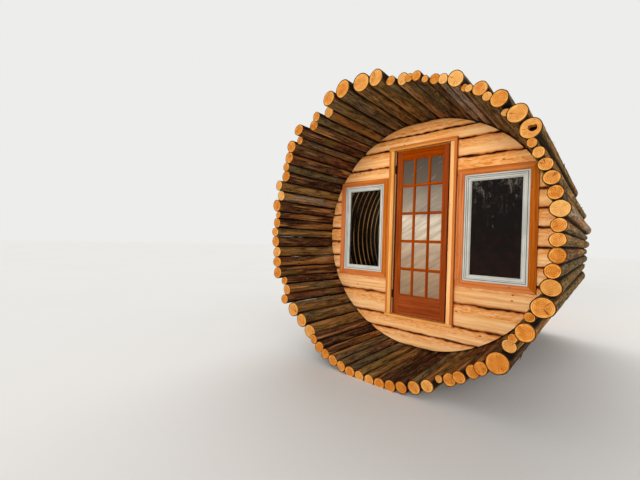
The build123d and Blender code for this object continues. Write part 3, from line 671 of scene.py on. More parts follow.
# %% [markdown]
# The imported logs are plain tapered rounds, and some are hewn flat underneath. Their sizes could be listed
# here, but the mesh has them already: its ends say where a log starts and stops, and how thick it is there.
# A circle through the points of an end gives its middle and radius, also where the flat has cut part of the
# circle away.

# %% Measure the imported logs
END_ZONE = 0.02
OFF_GROUND = 0.0005  # points on the ground belong to the flat, and not to the round


def circle_at(points, y):
    """Middle and radius of a log's end at y. A circle is x*x + z*z = 2*a*x + 2*b*z + c: least squares."""
    rim = points[(abs(points[:, 1] - y) < END_ZONE) & (points[:, 2] > OFF_GROUND)]
    known = np.column_stack([2 * rim[:, 0], 2 * rim[:, 2], np.ones(len(rim))])
    a, b, c = np.linalg.lstsq(known, (rim[:, [0, 2]] ** 2).sum(axis=1), rcond=None)[0]
    return np.array([a, rim[:, 1].mean(), b]), sqrt(c + a * a + b * b)


def measured_logs(node):
    """Angle from the top, front middle and radius, rear middle and radius of each log in a node."""
    found = []
    for points in solids(node):
        front, front_radius = circle_at(points, points[:, 1].min())
        rear, rear_radius = circle_at(points, points[:, 1].max())
        angle = atan2(front[0], front[2] - AXIS_HEIGHT) % (2 * pi)
        found.append((angle, front, front_radius, rear, rear_radius))
    return sorted(found, key=lambda log: log[0])


log_nodes = sorted(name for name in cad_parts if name.startswith("logs_"))
logs = {name: measured_logs(name) for name in log_nodes}
print("logs:", sum(map(len, logs.values())))

# %% [markdown]
# A real log is never a clean cone. Its skin swells and sinks in waves that run round it, and branches have
# left bumps. A displacement modifier could do this from a texture, but it would also tear the sawn ends.
# So both are formulas over two numbers: the turn round the log and the length along it.

# %% Waves and branch bumps
COARSE_WAVES = (9, 0.0012, 0.9)  # how many, their height, and the longest pitch
FINE_WAVES = (6, 0.0007, 0.2)
BUMP_LENGTH, BUMP_WIDTH, BUMP_HEIGHT = 0.024, 0.015, 0.004


def waves(rng, turn, along, count, height, longest):
    """Sum of waves that run whole numbers of times round the log, so that its skin closes on itself."""
    total = 0
    for _ in range(count):
        rounds, pitch = rng.integers(1, 7), rng.uniform(0.15, 1.0) * longest
        phase = rng.uniform(0, 2 * pi)
        total = total + rng.uniform(0.3, 1.0) * np.cos(rounds * turn + 2 * pi * along / pitch + phase)
    return height * total / sqrt(count)


def branch_bumps(rng, turn, along, length, radius):
    """Round hills of height one where branches were cut: the highest of a few bell curves."""
    knot = np.zeros(np.broadcast_shapes(turn.shape, along.shape))
    for _ in range(rng.integers(4, 9)):
        at, facing = rng.uniform(0.1, length), rng.uniform(0, 2 * pi)
        apart = np.angle(np.exp(1j * (turn - facing))) * radius
        knot = np.maximum(knot, np.exp(-((along - at) / BUMP_LENGTH) ** 2 - (apart / BUMP_WIDTH) ** 2))
    return knot


print("bumps stand", BUMP_HEIGHT * 1000, "mm off the bark")

# %% [markdown]
# A log needs rings of points along it, and it lies askew in the barrel by its taper. Even rings would be
# wasted on the far end, so they are 28 mm apart on the porch, where the eye is near, and 60 mm behind it. An
# end is a flat disc of rings that grow from the heart to the bark. Three directions at right angles say
# where along, outwards and sideways are for a log.

# %% Rings and directions of a log
DISC = np.array([0.12, 0.30, 0.37, 0.56, 0.78, 0.92])  # shares of the radius, from the heart out
RIM = 0.006  # the first ring of the bark lies this far behind the sawn face
NEAR_LENGTH, NEAR_STEP, FAR_STEP = 1.15, 0.028, 0.06
RING_FREE = 0.02  # no far ring lies this close to the rear end


def log_rings(length):
    """Places along a log and the share of its radius there: the end discs are rings of growing share."""
    near = np.linspace(RIM, NEAR_LENGTH, int(NEAR_LENGTH / NEAR_STEP))
    far = np.arange(NEAR_LENGTH + FAR_STEP, length - RING_FREE, FAR_STEP)
    side = np.concatenate([[0.0], near, far, [length - RIM, length]])
    share = np.concatenate([DISC, np.ones(len(side)), DISC[::-1]])[:, None]
    along = np.concatenate([DISC * 0, side, DISC * 0 + length])[:, None]
    return share, along


def log_directions(angle, front, rear):
    """Length of a log, and its three directions at right angles: along it, off the barrel, and across."""
    length = np.linalg.norm(rear - front)
    forwards = (rear - front) / length
    outwards = np.array([sin(angle), 0, cos(angle)])
    outwards = outwards - forwards * (outwards @ forwards)
    outwards = outwards / np.linalg.norm(outwards)
    return length, forwards, outwards, np.cross(forwards, outwards)


print("rings along a log of 3.66 m:", len(log_rings(3.66)[0]))

# %% [markdown]
# Two things have to be known at each point besides its place. The first is its mark: share of the radius on
# an end, below zero where the log turns into the joint with its neighbour, painted dark as shade and dirt,
# and above zero on a bump.
# The second is how far it slides along the log: the saw cut each end a little askew, and one log has lost
# its heart to rot. Painting them by hand on 80 logs would take days, and both follow from the same rings.

# %% Marks and cuts of a log
# Past this share the bark is painted dark, as shade between the logs and some dirt.
JOINT_SHADE_FROM = 0.62  # past this share of its width, a log turns into the joint with its neighbour
SKEW, SKEW_FADE = 0.14, 0.05  # most slide for each metre of radius, and how soon it fades along the log
PIT_SHARE, ROT_SHARE = 0.33, 0.40  # shares of the radius that the hollow and the rot round it reach
FRONT_ZONE = 0.01
PIT_MARK = 1.2  # past the mark of the dark rim, so the hollow is dark


def log_mark(turn, share, along, length, knot):
    """Share of the radius on an end; on the bark a bump's height, or below zero in a joint's painted shade."""
    at_rim = (along < 0.001) | (along > length - 0.001)
    # Painted shade, and some dirt, where a log turns into the joint with its neighbour.
    joint_shade = np.clip((abs(np.sin(turn)) - JOINT_SHADE_FROM) / (1 - JOINT_SHADE_FROM), 0, 1)
    return np.where(share < 1, share, np.where(at_rim, 1.0, knot - joint_shade * (knot < 0.3)))


def skew_cut(rng, turn, along, length, skin_radius):
    """Slide along the log = skew * radius * cosine of the turn, fading away from both ends."""
    skew_turn, skew = rng.uniform(0, 2 * pi), rng.uniform(-SKEW, SKEW)
    near_end = np.exp(-np.minimum(along, length - along) / SKEW_FADE)
    return skew * skin_radius * np.cos(turn - skew_turn) * near_end


print("a saw cut leans at most", round(SKEW * 100), "mm on 100 mm")

# %% [markdown]
# Now the log itself. It tapers, it is a little oval, it bends slowly, and it has its waves, bumps and cuts.
# All of it is one formula over the turn and the length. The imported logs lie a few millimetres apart, so the
# bark is that much thicker than the log, and only thin lines of daylight stay between them.

# %% Grow a log
AROUND = 36
CAD_ROUND = cos(pi / 16)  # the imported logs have 16 sides, and the bark lies on their flats
BARK_THICKNESS, OVAL, BEND = 0.004, 0.03, 0.003
OFF_HEART = (0.006, 0.012)  # rot has not kept to the middle of the log
GRAIN_APART = 5.3  # the next log takes its pattern from this far away


def grown_log(number, angle, front, front_radius, rear, rear_radius, tone, hollow=0.0):
    """Radius = taper + waves + bumps; middle = straight line + one slow bend; ends = skew cuts. A hollow
    sinks the heart of the front end by its depth."""
    rng = np.random.default_rng(number)
    length, forwards, outwards, sideways = log_directions(angle, front, rear)
    share, along = log_rings(length)
    turn = np.linspace(0, 2 * pi, AROUND, endpoint=False)[None, :]
    radius = (front_radius + (rear_radius - front_radius) * along / length) * CAD_ROUND
    coarse = waves(rng, turn, along, *COARSE_WAVES)
    fine = waves(rng, turn * 2, along, *FINE_WAVES)
    oval = 1 + OVAL * np.cos(2 * (turn - rng.uniform(0, pi)))
    knot = branch_bumps(rng, turn, along, length, radius)
    skin_radius = (radius * oval + BARK_THICKNESS + coarse + fine + BUMP_HEIGHT * knot) * share
    bend = BEND * np.sin(2 * pi * along / rng.uniform(1.6, 3.2) + rng.uniform(0, 2 * pi))
    pit = (share < PIT_SHARE) & (along < FRONT_ZONE)
    slide = skew_cut(rng, turn, along, length, skin_radius) + hollow * pit
    rotten = (hollow > 0) * (share < ROT_SHARE) * (along < FRONT_ZONE)
    uneven = 0.20 * np.cos(2 * turn - 1.2) + 0.10 * np.cos(3 * turn)  # rot has no round outline
    skin_radius = skin_radius * (1 + rotten * uneven)
    across = skin_radius * np.sin(turn) + OFF_HEART[0] * rotten
    up = skin_radius * np.cos(turn) + OFF_HEART[1] * rotten
    place = (front + forwards * (along + slide)[..., None] + sideways * (across + 0.4 * bend)[..., None]
             + outwards * (up + abs(bend))[..., None])
    place[..., 2] = np.maximum(place[..., 2], 0)  # the flat that the log lies on
    grain = np.stack([across, up, np.broadcast_to(along + GRAIN_APART * number, across.shape)], axis=-1)
    mark = log_mark(turn, share, along, length, knot)
    shape = tube(skin(place, grain, tone, np.where(pit & (hollow > 0), PIT_MARK, mark)))
    quads, ends = shape["faces"]
    row = np.arange(len(quads)) // AROUND
    is_end = (row < len(DISC)) | (row >= len(share) - 1 - len(DISC))
    return {**shape, "faces": [quads[~is_end], quads[is_end], ends], "finish": [0, 1, 1]}


print("points round a log:", AROUND)

# %% [markdown]
# Stringy bark comes loose, and shreds of it stand off the logs. They could be scattered with a particle
# system, but that is settled at random each time it is changed. A shred is a flat tongue: it starts in the
# bark, lifts off more and more, twists a little and runs to a point. Eight points round a flat ellipse and
# ten rings along it are enough for something so small.

# %% Tear shreds of bark
SHRED_TURN = 0.75  # shreds stand on the outer side, this far to either side of it in radians
INSIDE_SHARE, PORCH_LENGTH = 0.3, 0.85  # or on the inner side, within the porch
REACH, LIFT, HALF_WIDTH, HALF_THICK = (0.10, 0.38), (0.008, 0.030), (0.005, 0.013), 0.001


def bark_shred(rng, angle, front, front_radius, rear, rear_radius, number, tone):
    """Middle = log surface + lift * t ** 2.2; ellipse = width * (1 - 0.9 * t ** 3) by 2 mm, twisted by t."""
    length, forwards, outwards, sideways = log_directions(angle, front, rear)
    inside = rng.uniform() < INSIDE_SHARE
    reach, lift = rng.uniform(*REACH), rng.uniform(*LIFT)
    start = rng.uniform(0.05, PORCH_LENGTH - reach) if inside else rng.uniform(0.05, length - reach - 0.05)
    facing = rng.uniform(-SHRED_TURN, SHRED_TURN) + pi * inside
    t, round_it = np.linspace(0, 1, 10)[:, None], np.linspace(0, 2 * pi, 8, endpoint=False)[None, :]
    along = start + reach * (t if rng.uniform() < 0.5 else 1 - t)
    taper = (rear_radius - front_radius) * along / length
    radius = front_radius + taper - HALF_THICK + lift * t ** 2.2
    normal = sin(facing) * sideways + cos(facing) * outwards
    beside = cos(facing) * sideways - sin(facing) * outwards
    twist = rng.uniform(-0.8, 0.8) * t ** 2
    flat = rng.uniform(*HALF_WIDTH) * (1 - 0.9 * t ** 3) * np.cos(round_it)
    thick = HALF_THICK * np.sin(round_it)
    out = radius + flat * np.sin(twist) + thick * np.cos(twist)
    aside = flat * np.cos(twist) - thick * np.sin(twist) + rng.uniform(-0.03, 0.03) * t ** 2
    place = (front + along[..., None] * forwards + out[..., None] * normal + aside[..., None] * beside)
    place[..., 2] = np.maximum(place[..., 2], HALF_THICK)
    grain = np.stack([aside + number, out, np.broadcast_to(along, out.shape)], axis=-1)
    return tube(skin(place, grain, tone, 0.0))


print("shreds are", 2000 * HALF_THICK, "mm thick")

# %% [markdown]
# The colour of the bark is drawn for each log, and the seed is the log's number, so it stays the same each
# time. High logs are more often golden and olive, and those on the left are darker: partly their own bark, and
# partly painted light on the top and painted shade on the left. One log at two o'clock has the hollow heart,
# and one on the left has weathered nearly white. Picking those two by hand would tie them to a number in a
# list, so they are found by their angle from the top.

# %% Lay the logs
HOLLOW_AT, HOLLOW_DEPTH = radians(61), 0.08
WHITE_AT, WHITE_TONE = radians(286), 0.82
# What the top and right side add is partly painted light: top logs lighter, logs on the left darker as shade.
TONES, TONE_AND_LIGHT_UP, TONE_AND_LIGHT_RIGHT = (0.02, 0.66), 0.24, 0.08  # drawn range, and what top and right side add
TONE_SEEDS, SHRED_SEEDS = 900, 2000  # so that tones, shreds and shapes are drawn apart
every_log = [log for node in log_nodes for log in logs[node]]
hollow_log = min(every_log, key=lambda log: abs(log[0] - HOLLOW_AT))
white_log = min(every_log, key=lambda log: abs(log[0] - WHITE_AT))
number = shreds = 0
for node in log_nodes:
    shapes = []
    for log in logs[node]:
        number += 1
        higher, rightwards = 0.5 + 0.5 * cos(log[0]), sin(log[0])
        drawn = np.random.default_rng(TONE_SEEDS + number).uniform(*TONES)
        tone = WHITE_TONE if log is white_log else drawn + TONE_AND_LIGHT_UP * higher + TONE_AND_LIGHT_RIGHT * rightwards
        shapes.append(grown_log(number, *log, tone, HOLLOW_DEPTH if log is hollow_log else 0.0))
        rng = np.random.default_rng(SHRED_SEEDS + number)
        loose = rng.integers(0, 3 + int(3 * max(0.0, rightwards)))
        shapes += [bark_shred(rng, *log, number, tone + 0.05) for _ in range(loose)]
        shreds += loose
    piece(f"barked_{node}", shapes, [log_bark, log_end], [node], crease=50)
print("logs:", number, "with", shreds, "shreds")

# %% [markdown]
# The round walls are courses of half-log slabs, cut to the round. A slab's outline could be cut with a
# boolean, but that leaves messy faces at its ends. Here the ends are worked out instead: at each height the
# slab is as long as the round wall is wide there. Its two long edges wander, as the edge of a log does.

# %% Round limits and wandering lines
def half_chord(height):
    """Half the width of the round wall at a height, by Pythagoras with its radius."""
    return np.sqrt(np.maximum(WALL_RADIUS ** 2 - (height - AXIS_HEIGHT) ** 2, 0))


def wander(rng, x, longest, count):
    """Irregular line along x: a sum of waves of random length and phase, about one unit high."""
    total = 0
    for _ in range(count):
        pitch, phase = rng.uniform(0.12, 1.0) * longest, rng.uniform(0, 2 * pi)
        total = total + rng.uniform(0.4, 1.0) * np.sin(2 * pi * x / pitch + phase)
    return total / sqrt(count)


print("the wall is", round(2 * half_chord(AXIS_HEIGHT), 2), "m wide at its axis")

# %% [markdown]
# The face of a slab is slightly crowned and hewn a little uneven, and both long edges are waney, with some
# bark left on them, painted wide and dark enough to stand also for the shade in the gaps between courses. A
# plank with a bevel would look machined. So a slab is one table of rings along its length: each ring runs
# from the foot to the head over the face, with its points closest near the edges, and back along the inside.

# %% Slabs
ACROSS = np.array([0, 0.010, 0.03, 0.06, 0.10, 0.16, 0.26, 0.38, 0.50, 0.62, 0.74, 0.84, 0.90, 0.94, 0.97,
                   0.99, 1])  # shares of a slab's height
SLAB_STEP = 0.022
WANE, CROWN, ROUND_OVER, HEWN = 0.005, 0.004, 0.022, 0.0015
LONG_WAVES, SHORT_WAVES = (0.7, 6), (0.12, 4)  # of a long edge: longest one in metres, and how many
FACE_WAVES, ROUND_WAVES = (0.5, 5), (0.6, 4)  # of the hewn face, and of how far its edges are rounded
FACE_BACK = 0.002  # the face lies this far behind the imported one, so that no bump passes it
SLAB_APART = 3.7  # the next slab takes its pattern from this far away
DARKEST_AT = 0.7  # height in the wall


def waney_line(rng, x):
    """Long edge of a slab = wane * (long waves + 0.4 * short waves)."""
    return WANE * wander(rng, x, *LONG_WAVES) + 0.4 * WANE * wander(rng, x, *SHORT_WAVES)


def slab_depth(rng, x, share):
    """Depth of the face = crown + rounded waney edges + hewn unevenness. Edge is 0 in the middle, 1 at
    both long edges."""
    edge = abs(2 * share - 1)
    hewn = HEWN * wander(rng, x + 0.6 * share, *FACE_WAVES) * (1 - edge ** 4)
    wane = ROUND_OVER * (1 + 0.35 * wander(rng, x + 0.3 * share, *ROUND_WAVES))
    return CROWN * edge ** 2 + wane * edge ** 8 + FACE_BACK + hewn


def slab(low, high, number, facing):
    """Height = share of the course + waney edges; depth = crown and rounded edges; ends on the circle."""
    rng = np.random.default_rng(number)
    count = max(4, int((high[0] - low[0]) / SLAB_STEP))
    along, share = np.linspace(0, 1, count)[:, None], ACROSS[None, :]
    height = low[2] + share * (high[2] - low[2])
    left = np.maximum(low[0], -half_chord(height))
    right = np.minimum(high[0], half_chord(height))
    x = left + along * (right - left)
    foot_line, head_line = waney_line(rng, x), waney_line(rng, x)
    z = height + (1 - share) ** 4 * foot_line + share ** 4 * head_line
    outside, inside = (low[1], high[1]) if facing < 0 else (high[1], low[1])
    face = outside - facing * slab_depth(rng, x, share)
    y = np.concatenate([face, np.full(x.shape, inside)], axis=1)
    x, z = (np.concatenate([value, value[:, ::-1]], axis=1) for value in (x, z))
    middle = (low[2] + high[2]) / 2 + rng.uniform(-0.05, 0.05)
    heart = inside - facing * rng.uniform(-0.03, 0.04)
    grain = np.stack([x + SLAB_APART * number, z - middle, y - heart], axis=-1)
    edge = abs(2 * share - 1)
    # Bark on the waney edges, and painted shade of the gaps between courses.
    bark_and_gap_shade = edge ** 8 * (0.84 + 0.42 * wander(rng, x[:, :len(ACROSS)], *FACE_WAVES))
    mark = np.concatenate([bark_and_gap_shade, bark_and_gap_shade * 0 + 0.5], axis=1)
    # Slabs are darkest below the windows, and lighter at the foot and towards the head of the wall: painted
    # light.
    tone = np.clip(0.40 + 0.32 * abs(low[2] - DARKEST_AT) + rng.uniform(-0.2, 0.2), 0, 1)
    return tube(skin(np.stack([x, y, z], axis=-1), grain, tone, mark), "strip")


print("points round a slab:", 2 * len(ACROSS))

# %% [markdown]
# The front wall is laid course by course round the door and the windows, and the rear wall is plain. The
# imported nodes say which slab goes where, so each slab of a node is simply replaced by its waney one. The
# seed of a slab is its number, counted from the ground up, so the wall stays the same each time.

# %% Lay the slabs
def slab_wall(node, first, facing=-1):
    """All slabs of a node, from the ground up."""
    found = sorted(solids(node), key=lambda points: (round(points[:, 2].min(), 2), points[:, 0].min()))
    return [slab(p.min(axis=0), p.max(axis=0), first + k, facing) for k, p in enumerate(found)]


walls = sorted(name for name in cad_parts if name.startswith("front_wall_") and "backing" not in name)
for place, node in enumerate(walls):
    piece(f"slabs_{node}", slab_wall(node, 100 * place), [cedar_slab], [node])
piece("slabs_rear_wall", slab_wall("rear_wall", 700, facing=1), [cedar_slab], ["rear_wall"])

# %% [markdown]
# A sawn or planed board has a section that is the same from end to end. In Blender it could be a cube with a
# bevel. But a groove or a moulding needs a section of its own, so every bar here is a section carried along
# a line. Its arrises are rounded a little, because a sharp edge catches no light, and a mitre slides the
# points of an end by their place across.

# %% Sections and bars
OUT = np.array([0.0, -1.0, 0.0])
BAR_STEP = 0.08
BAR_APART = 2.9  # the next bar takes its pattern from this far away
BAR_SEEDS = 5000


def rounded(width, thickness, arris=0.003, steps=3):
    """Outline of a board's section, anticlockwise, across first: quarter circles round its corners."""
    turn = np.linspace(0, pi / 2, steps + 1)
    quarters = []
    for side, out, quarter in ((1, 1, 0), (-1, 1, 1), (-1, -1, 2), (1, -1, 3)):
        angle = turn + quarter * pi / 2
        middle = np.array([side * (width / 2 - arris), out * (thickness / 2 - arris)])
        quarters.append(middle + arris * np.column_stack([np.cos(angle), np.sin(angle)]))
    return np.concatenate(quarters)


def bar(section, start, end, mitre=(0, 0), number=0, arris=0.0025, marks=0.0, tone=None, outwards=OUT):
    """Place = start + along * s + across * a + outwards * b, for each point (a, b) of the section. The last
    arris of both ends is drawn in, a mitre adds its share of a to s, and marks go round the section."""
    rng = np.random.default_rng(BAR_SEEDS + number)
    start, end, outwards = (np.asarray(each, float) for each in (start, end, outwards))
    length = np.linalg.norm(end - start)
    forwards = (end - start) / length
    across = np.cross(outwards, forwards)
    inner = np.linspace(arris, length - arris, max(2, int(length / BAR_STEP)))
    s = np.concatenate([[0, 0.3 * arris], inner, [length - 0.3 * arris, length]])[:, None]
    from_end = np.minimum(np.minimum(s, length - s), arris)
    drawn_in = arris - np.sqrt(np.maximum(arris ** 2 - (arris - from_end) ** 2, 0))
    middle = (section.max(axis=0) + section.min(axis=0)) / 2
    half = (section.max(axis=0) - section.min(axis=0)) / 2
    drawn = middle + (section - middle)[None] * (1 - drawn_in[..., None] / half)
    a, b = drawn[..., 0], drawn[..., 1]
    slid = s + mitre[0] * a * (1 - s / length) + mitre[1] * a * s / length
    place = start + slid[..., None] * forwards + a[..., None] * across + b[..., None] * outwards
    heart = rng.uniform(-0.06, 0.06, 2)
    grain = np.stack([slid + BAR_APART * number, a + heart[0], b - 0.05 + 0.3 * heart[1]], axis=-1)
    tone = rng.uniform(0, 1) if tone is None else tone
    return tube(skin(place, grain, tone, marks))


print("points round a board:", len(rounded(0.1, 0.02)))

# %% [markdown]
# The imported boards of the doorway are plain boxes, and the planed ones that replace them are as long, wide
# and thick. Their sizes could be typed in again, but each box already says which way its board runs: the way
# in which it is longest.

# %% Boards over packed boxes
def long_axis(points):
    """Size of a box of points, its middle, which way it is longest, and the line through it that way."""
    low, high = points.min(axis=0), points.max(axis=0)
    size, middle = high - low, (low + high) / 2
    along = int(np.argmax(size))
    start, end = middle.copy(), middle.copy()
    start[along], end[along] = low[along], high[along]
    return size, middle, along, start, end


def boards(node, number):
    """One bar over each solid of a node, along its longest side, as wide and thick as the solid."""
    made = []
    for place, points in enumerate(solids(node)):
        size, _, along, start, end = long_axis(points)
        made.append(bar(rounded(size[2 - along], size[1]), start, end, number=number + place))
    return made


for node in ("door_jambs", "door_casing"):
    print(node, [[round(side, 3) for side in long_axis(points)[0]] for points in solids(node)])

# %% [markdown]
# The doorway is framed in planed cedar: casing boards on the face of the wall, jambs through it and stops
# behind the door. The casing shows two woods: the inner part is pale, and the outer part is a redder strip
# behind a fine groove. A second bar could be laid on, but on the real one both parts lie in one plane. So
# the section gets a groove, and the points on its outer side carry a mark. The head board is painted redder
# and darker all over, as the shade under the logs.

# %% Doorway
GROOVE = 0.0015  # half the width of the groove, and half its depth
STRIP_SHARE = 0.40  # share of the board's width that the red strip takes
STRIP_MARK, HEAD_SHADE_MARK = 1.3, 0.72  # marks of the strip, and of the rest of the head board
CASING_ARRIS = 0.004


def casing_board(points, number):
    """Bar whose section has a groove, with the mark of the red strip on the side off the door."""
    size, middle, along, start, end = long_axis(points)
    width, thickness = size[2 - along], size[1]
    upright = along == 2
    across = np.cross(OUT, (end - start) / size[along])
    from_door = middle if upright else np.array([0.0, 0.0, 1.0])
    side = 1.0 if across @ from_door > 0 else -1.0
    plain = rounded(width, thickness, CASING_ARRIS)
    at = side * (0.5 - STRIP_SHARE) * width
    groove = [(at + GROOVE, thickness / 2), (at, thickness / 2 - 2 * GROOVE), (at - GROOVE, thickness / 2)]
    section = np.concatenate([plain[:4], groove, plain[4:]])
    in_strip = section[:, 0] * side > at * side
    # The head board's mark and tone paint the shade under the logs on it.
    marks = np.where(in_strip, STRIP_MARK, 0.0 if upright else HEAD_SHADE_MARK)[None, :]
    tone = 0.5 + 0.2 * np.sign(middle[0]) if upright else 0.0
    return bar(section, start, end, number=number, marks=marks, tone=tone)


casing = [casing_board(points, 10 + place) for place, points in enumerate(solids("door_casing"))]
piece("casing_boards", casing, [pale_board], ["door_casing"])
piece("jamb_boards", boards("door_jambs", 20), [pale_board], ["door_jambs"])
piece("stop_strips", boards("door_stops", 30), [pale_board], ["door_stops"])

# %% [markdown]
# The sill closes the doorway at the foot. Its tread lies between the jambs, and its nosing runs under both
# casing boards, so it is wider in front than behind. One block with cut corners could give that, but the
# grain would break at the cuts. Two bars that meet at the face of the wall are simpler, as a joiner glues on
# a nosing.

# %% Sill
SILL_LAP = 0.01  # the tread laps this far under the nosing
SILL_ARRIS = 0.005
sill_low, sill_high = map(np.array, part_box("door_sill"))
jamb_low, jamb_high = map(np.array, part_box("door_jambs"))
sill_thickness, sill_middle = sill_high[2] - sill_low[2], (sill_low[2] + sill_high[2]) / 2
nosing_depth = WALL_FRONT - sill_low[1]
tread_depth = sill_high[1] - WALL_FRONT + SILL_LAP
sill_boards = []
for place, (depth, y, low_x, high_x) in enumerate((
    (nosing_depth, WALL_FRONT - nosing_depth / 2, sill_low[0], sill_high[0]),
    (tread_depth, sill_high[1] - tread_depth / 2, jamb_low[0], jamb_high[0]),
)):
    ends = (low_x, y, sill_middle), (high_x, y, sill_middle)
    section = rounded(depth, sill_thickness, SILL_ARRIS)
    sill_boards.append(bar(section, *ends, number=40 + place, outwards=(0, 0, 1)))
piece("sill_boards", sill_boards, [pale_board], ["door_sill"])

# %% [markdown]
# The door is joined from two stiles and two rails, and its grain turns at every joint. One frame with a hole
# in it would have the grain run one way only, so each board is a bar of its own. The outer edges of the
# stiles are painted dark, as the shade that the casing throws beside it: the mark of a stile's points grows
# towards that edge.

# %% Door leaf
leaf_low, leaf_high = map(np.array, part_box("door_leaf"))
field_low, field_high = map(np.array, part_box("door_muntins"))
door_middle = (leaf_low[1] + leaf_high[1]) / 2
door_thickness = leaf_high[1] - leaf_low[1]
STILE_SHADE_FROM, STILE_SHADE_FADE, STILE_SHADE_MARK = 0.62, 0.14, 0.9  # shares of a stile's width, and the mark at its edge


def leaf_board(low_x, high_x, low_z, high_z, number, tone, shaded_side=0):
    """Stile or rail over a rectangle of the door. A stile runs upwards, with painted shade along one edge."""
    x, z = (low_x + high_x) / 2, (low_z + high_z) / 2
    if not shaded_side:
        section = rounded(high_z - low_z, door_thickness)
        return bar(section, (low_x, door_middle, z), (high_x, door_middle, z), number=number, tone=tone)
    plain = rounded(high_x - low_x, door_thickness)
    # Seven more points across the face, so that the mark can change between them.
    face = np.linspace(0.30, -0.30, 7)[:, None] * (high_x - low_x, 0) + (0, door_thickness / 2)
    section = np.concatenate([plain[:4], face, plain[4:8], -face, plain[8:]])
    # Seen along the upright, across points to -X, so the shaded side is turned round here.
    share = 0.5 - shaded_side * section[:, 0] / (high_x - low_x)
    # The mark paints the casing's shade on the stile's outer edge.
    marks = np.clip((share - STILE_SHADE_FROM) / STILE_SHADE_FADE, 0, 1)[None, :] * STILE_SHADE_MARK
    ends = (x, door_middle, low_z), (x, door_middle, high_z)
    return bar(section, *ends, number=number, marks=marks, tone=tone)


leaf_boards = [
    leaf_board(leaf_low[0], field_low[0], leaf_low[2], leaf_high[2], 50, 0.20, shaded_side=-1),
    leaf_board(field_high[0], leaf_high[0], leaf_low[2], leaf_high[2], 51, 0.20, shaded_side=1),
    leaf_board(field_low[0], field_high[0], field_high[2], leaf_high[2], 52, 0.60),
    leaf_board(field_low[0], field_high[0], leaf_low[2], field_low[2], 53, 0.10),
]
piece("door_stiles_and_rails", leaf_boards, [door_board], ["door_leaf"], "door")

# %% [markdown]
# The bars between the panes are moulded: narrow at the face, and wider where they hold the glass. Half a
# such bar lines the stiles and rails. The places of the bars could be counted out from the size of the
# door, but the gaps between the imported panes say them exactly.

# %% Glazing bars of the door
GLASS_LAP = 0.003  # the bars lap this far over the glass
NOSE_HALF = 0.0125  # half the width of the flat nose
GLASS_REBATE = 0.004  # the hollow ends this far from the middle of the glass
LEVEL_SHY = 0.0005  # level bars stand this far behind the uprights, so that no faces coincide at crossings
BAR_ARRIS = 0.0005
muntin_depth = field_high[1] - field_low[1]
pane_boxes = np.array([(p.min(axis=0), p.max(axis=0)) for p in solids("door_panes")]).round(4)
pane_lefts, pane_rights = (np.unique(pane_boxes[:, end, 0]) for end in (0, 1))
pane_feet, pane_heads = (np.unique(pane_boxes[:, end, 2]) for end in (0, 1))
bar_half = (pane_lefts[1] - pane_rights[0]) / 2 + GLASS_LAP


def moulded(depth):
    """Section of a glazing bar: flat nose, a quarter hollow to the glass each side, the same behind."""
    turn = np.linspace(0, pi / 2, 5)
    fall = depth / 2 - GLASS_REBATE
    hollow = [bar_half - (bar_half - NOSE_HALF) * np.sin(turn), GLASS_REBATE + fall * (1 - np.cos(turn))]
    side = np.column_stack(hollow)
    front = np.concatenate([side, side[::-1] * (-1, 1)])
    return np.concatenate([front, front * (-1, -1)])


upright_at = [field_low[0], *(pane_rights[:-1] + pane_lefts[1:]) / 2, field_high[0]]
level_at = [field_low[2], *(pane_heads[:-1] + pane_feet[1:]) / 2, field_high[2]]
upright, level = moulded(muntin_depth), moulded(muntin_depth - 2 * LEVEL_SHY)
runs = [(upright, (x, door_middle, field_low[2]), (x, door_middle, field_high[2])) for x in upright_at]
runs += [(level, (field_low[0], door_middle, z), (field_high[0], door_middle, z)) for z in level_at]
muntins = [bar(*run, number=60 + place, arris=BAR_ARRIS) for place, run in enumerate(runs)]
piece("door_glazing_bars", muntins, [door_board], ["door_muntins"], "door", crease=30)

# %% [markdown]
# The windows are of white vinyl. Frame and sash are extruded sections, cut at 45 degrees and welded. A frame
# could be inset from a flat sheet, but its steps would all have to be drawn by hand on it. Four bars with
# mitres carry the section round instead, as the real ones do. The frame has a groove beside its flat, painted
# dark as shade, and the sash slopes down to the glass.

# %% Vinyl sections
GROOVE_FROM, GROOVE_TO, FRAME_FLAT = 0.0165, 0.0225, 0.016
WELD_ARRIS = 0.0004


def mitred_ring(section, low, high, y, number, tones=(None,) * 4, marks=0.0):
    """Four bars round a rectangle, from the foot rightwards. The section's first number counts from the
    outer edge inwards."""
    corners = [(low[0], low[2]), (high[0], low[2]), (high[0], high[2]), (low[0], high[2])]
    made = []
    for place in range(4):
        (x0, z0), (x1, z1) = corners[place], corners[(place + 1) % 4]
        ends = (x0, y, z0), (x1, y, z1)
        made.append(bar(section, *ends, (1.0, -1.0), number + place, WELD_ARRIS, marks, tones[place]))
    return made


def stepped(points):
    """Section of an extruded bar from its face outline and its depth, closed at the back."""
    face = np.array(points)
    return np.concatenate([face[::-1], [[face[0][0], 0.0]], [[face[-1][0], 0.0]]])


def frame_section(face, depth):
    """Outer frame: a flat of 16 mm, a 3 mm deep groove beside it and a small lip over the sash."""
    return stepped([(0, depth - 0.002), (0.002, depth), (FRAME_FLAT, depth), (GROOVE_FROM, depth - 0.003),
                    (GROOVE_TO, depth - 0.003), (0.023, depth - 0.001), (face - 0.003, depth - 0.001),
                    (face, depth - 0.005)])


def sash_section(face, depth):
    """Sash: a flat of 18 mm and a slope that falls 10 mm to the glass."""
    return stepped([(0, depth - 0.003), (0.003, depth), (0.018, depth), (0.020, depth - 0.002),
                    (face - 0.002, depth - 0.010), (face, depth - 0.012)])


print("groove of the vinyl frame:", round((GROOVE_TO - GROOVE_FROM) * 1000), "mm wide")

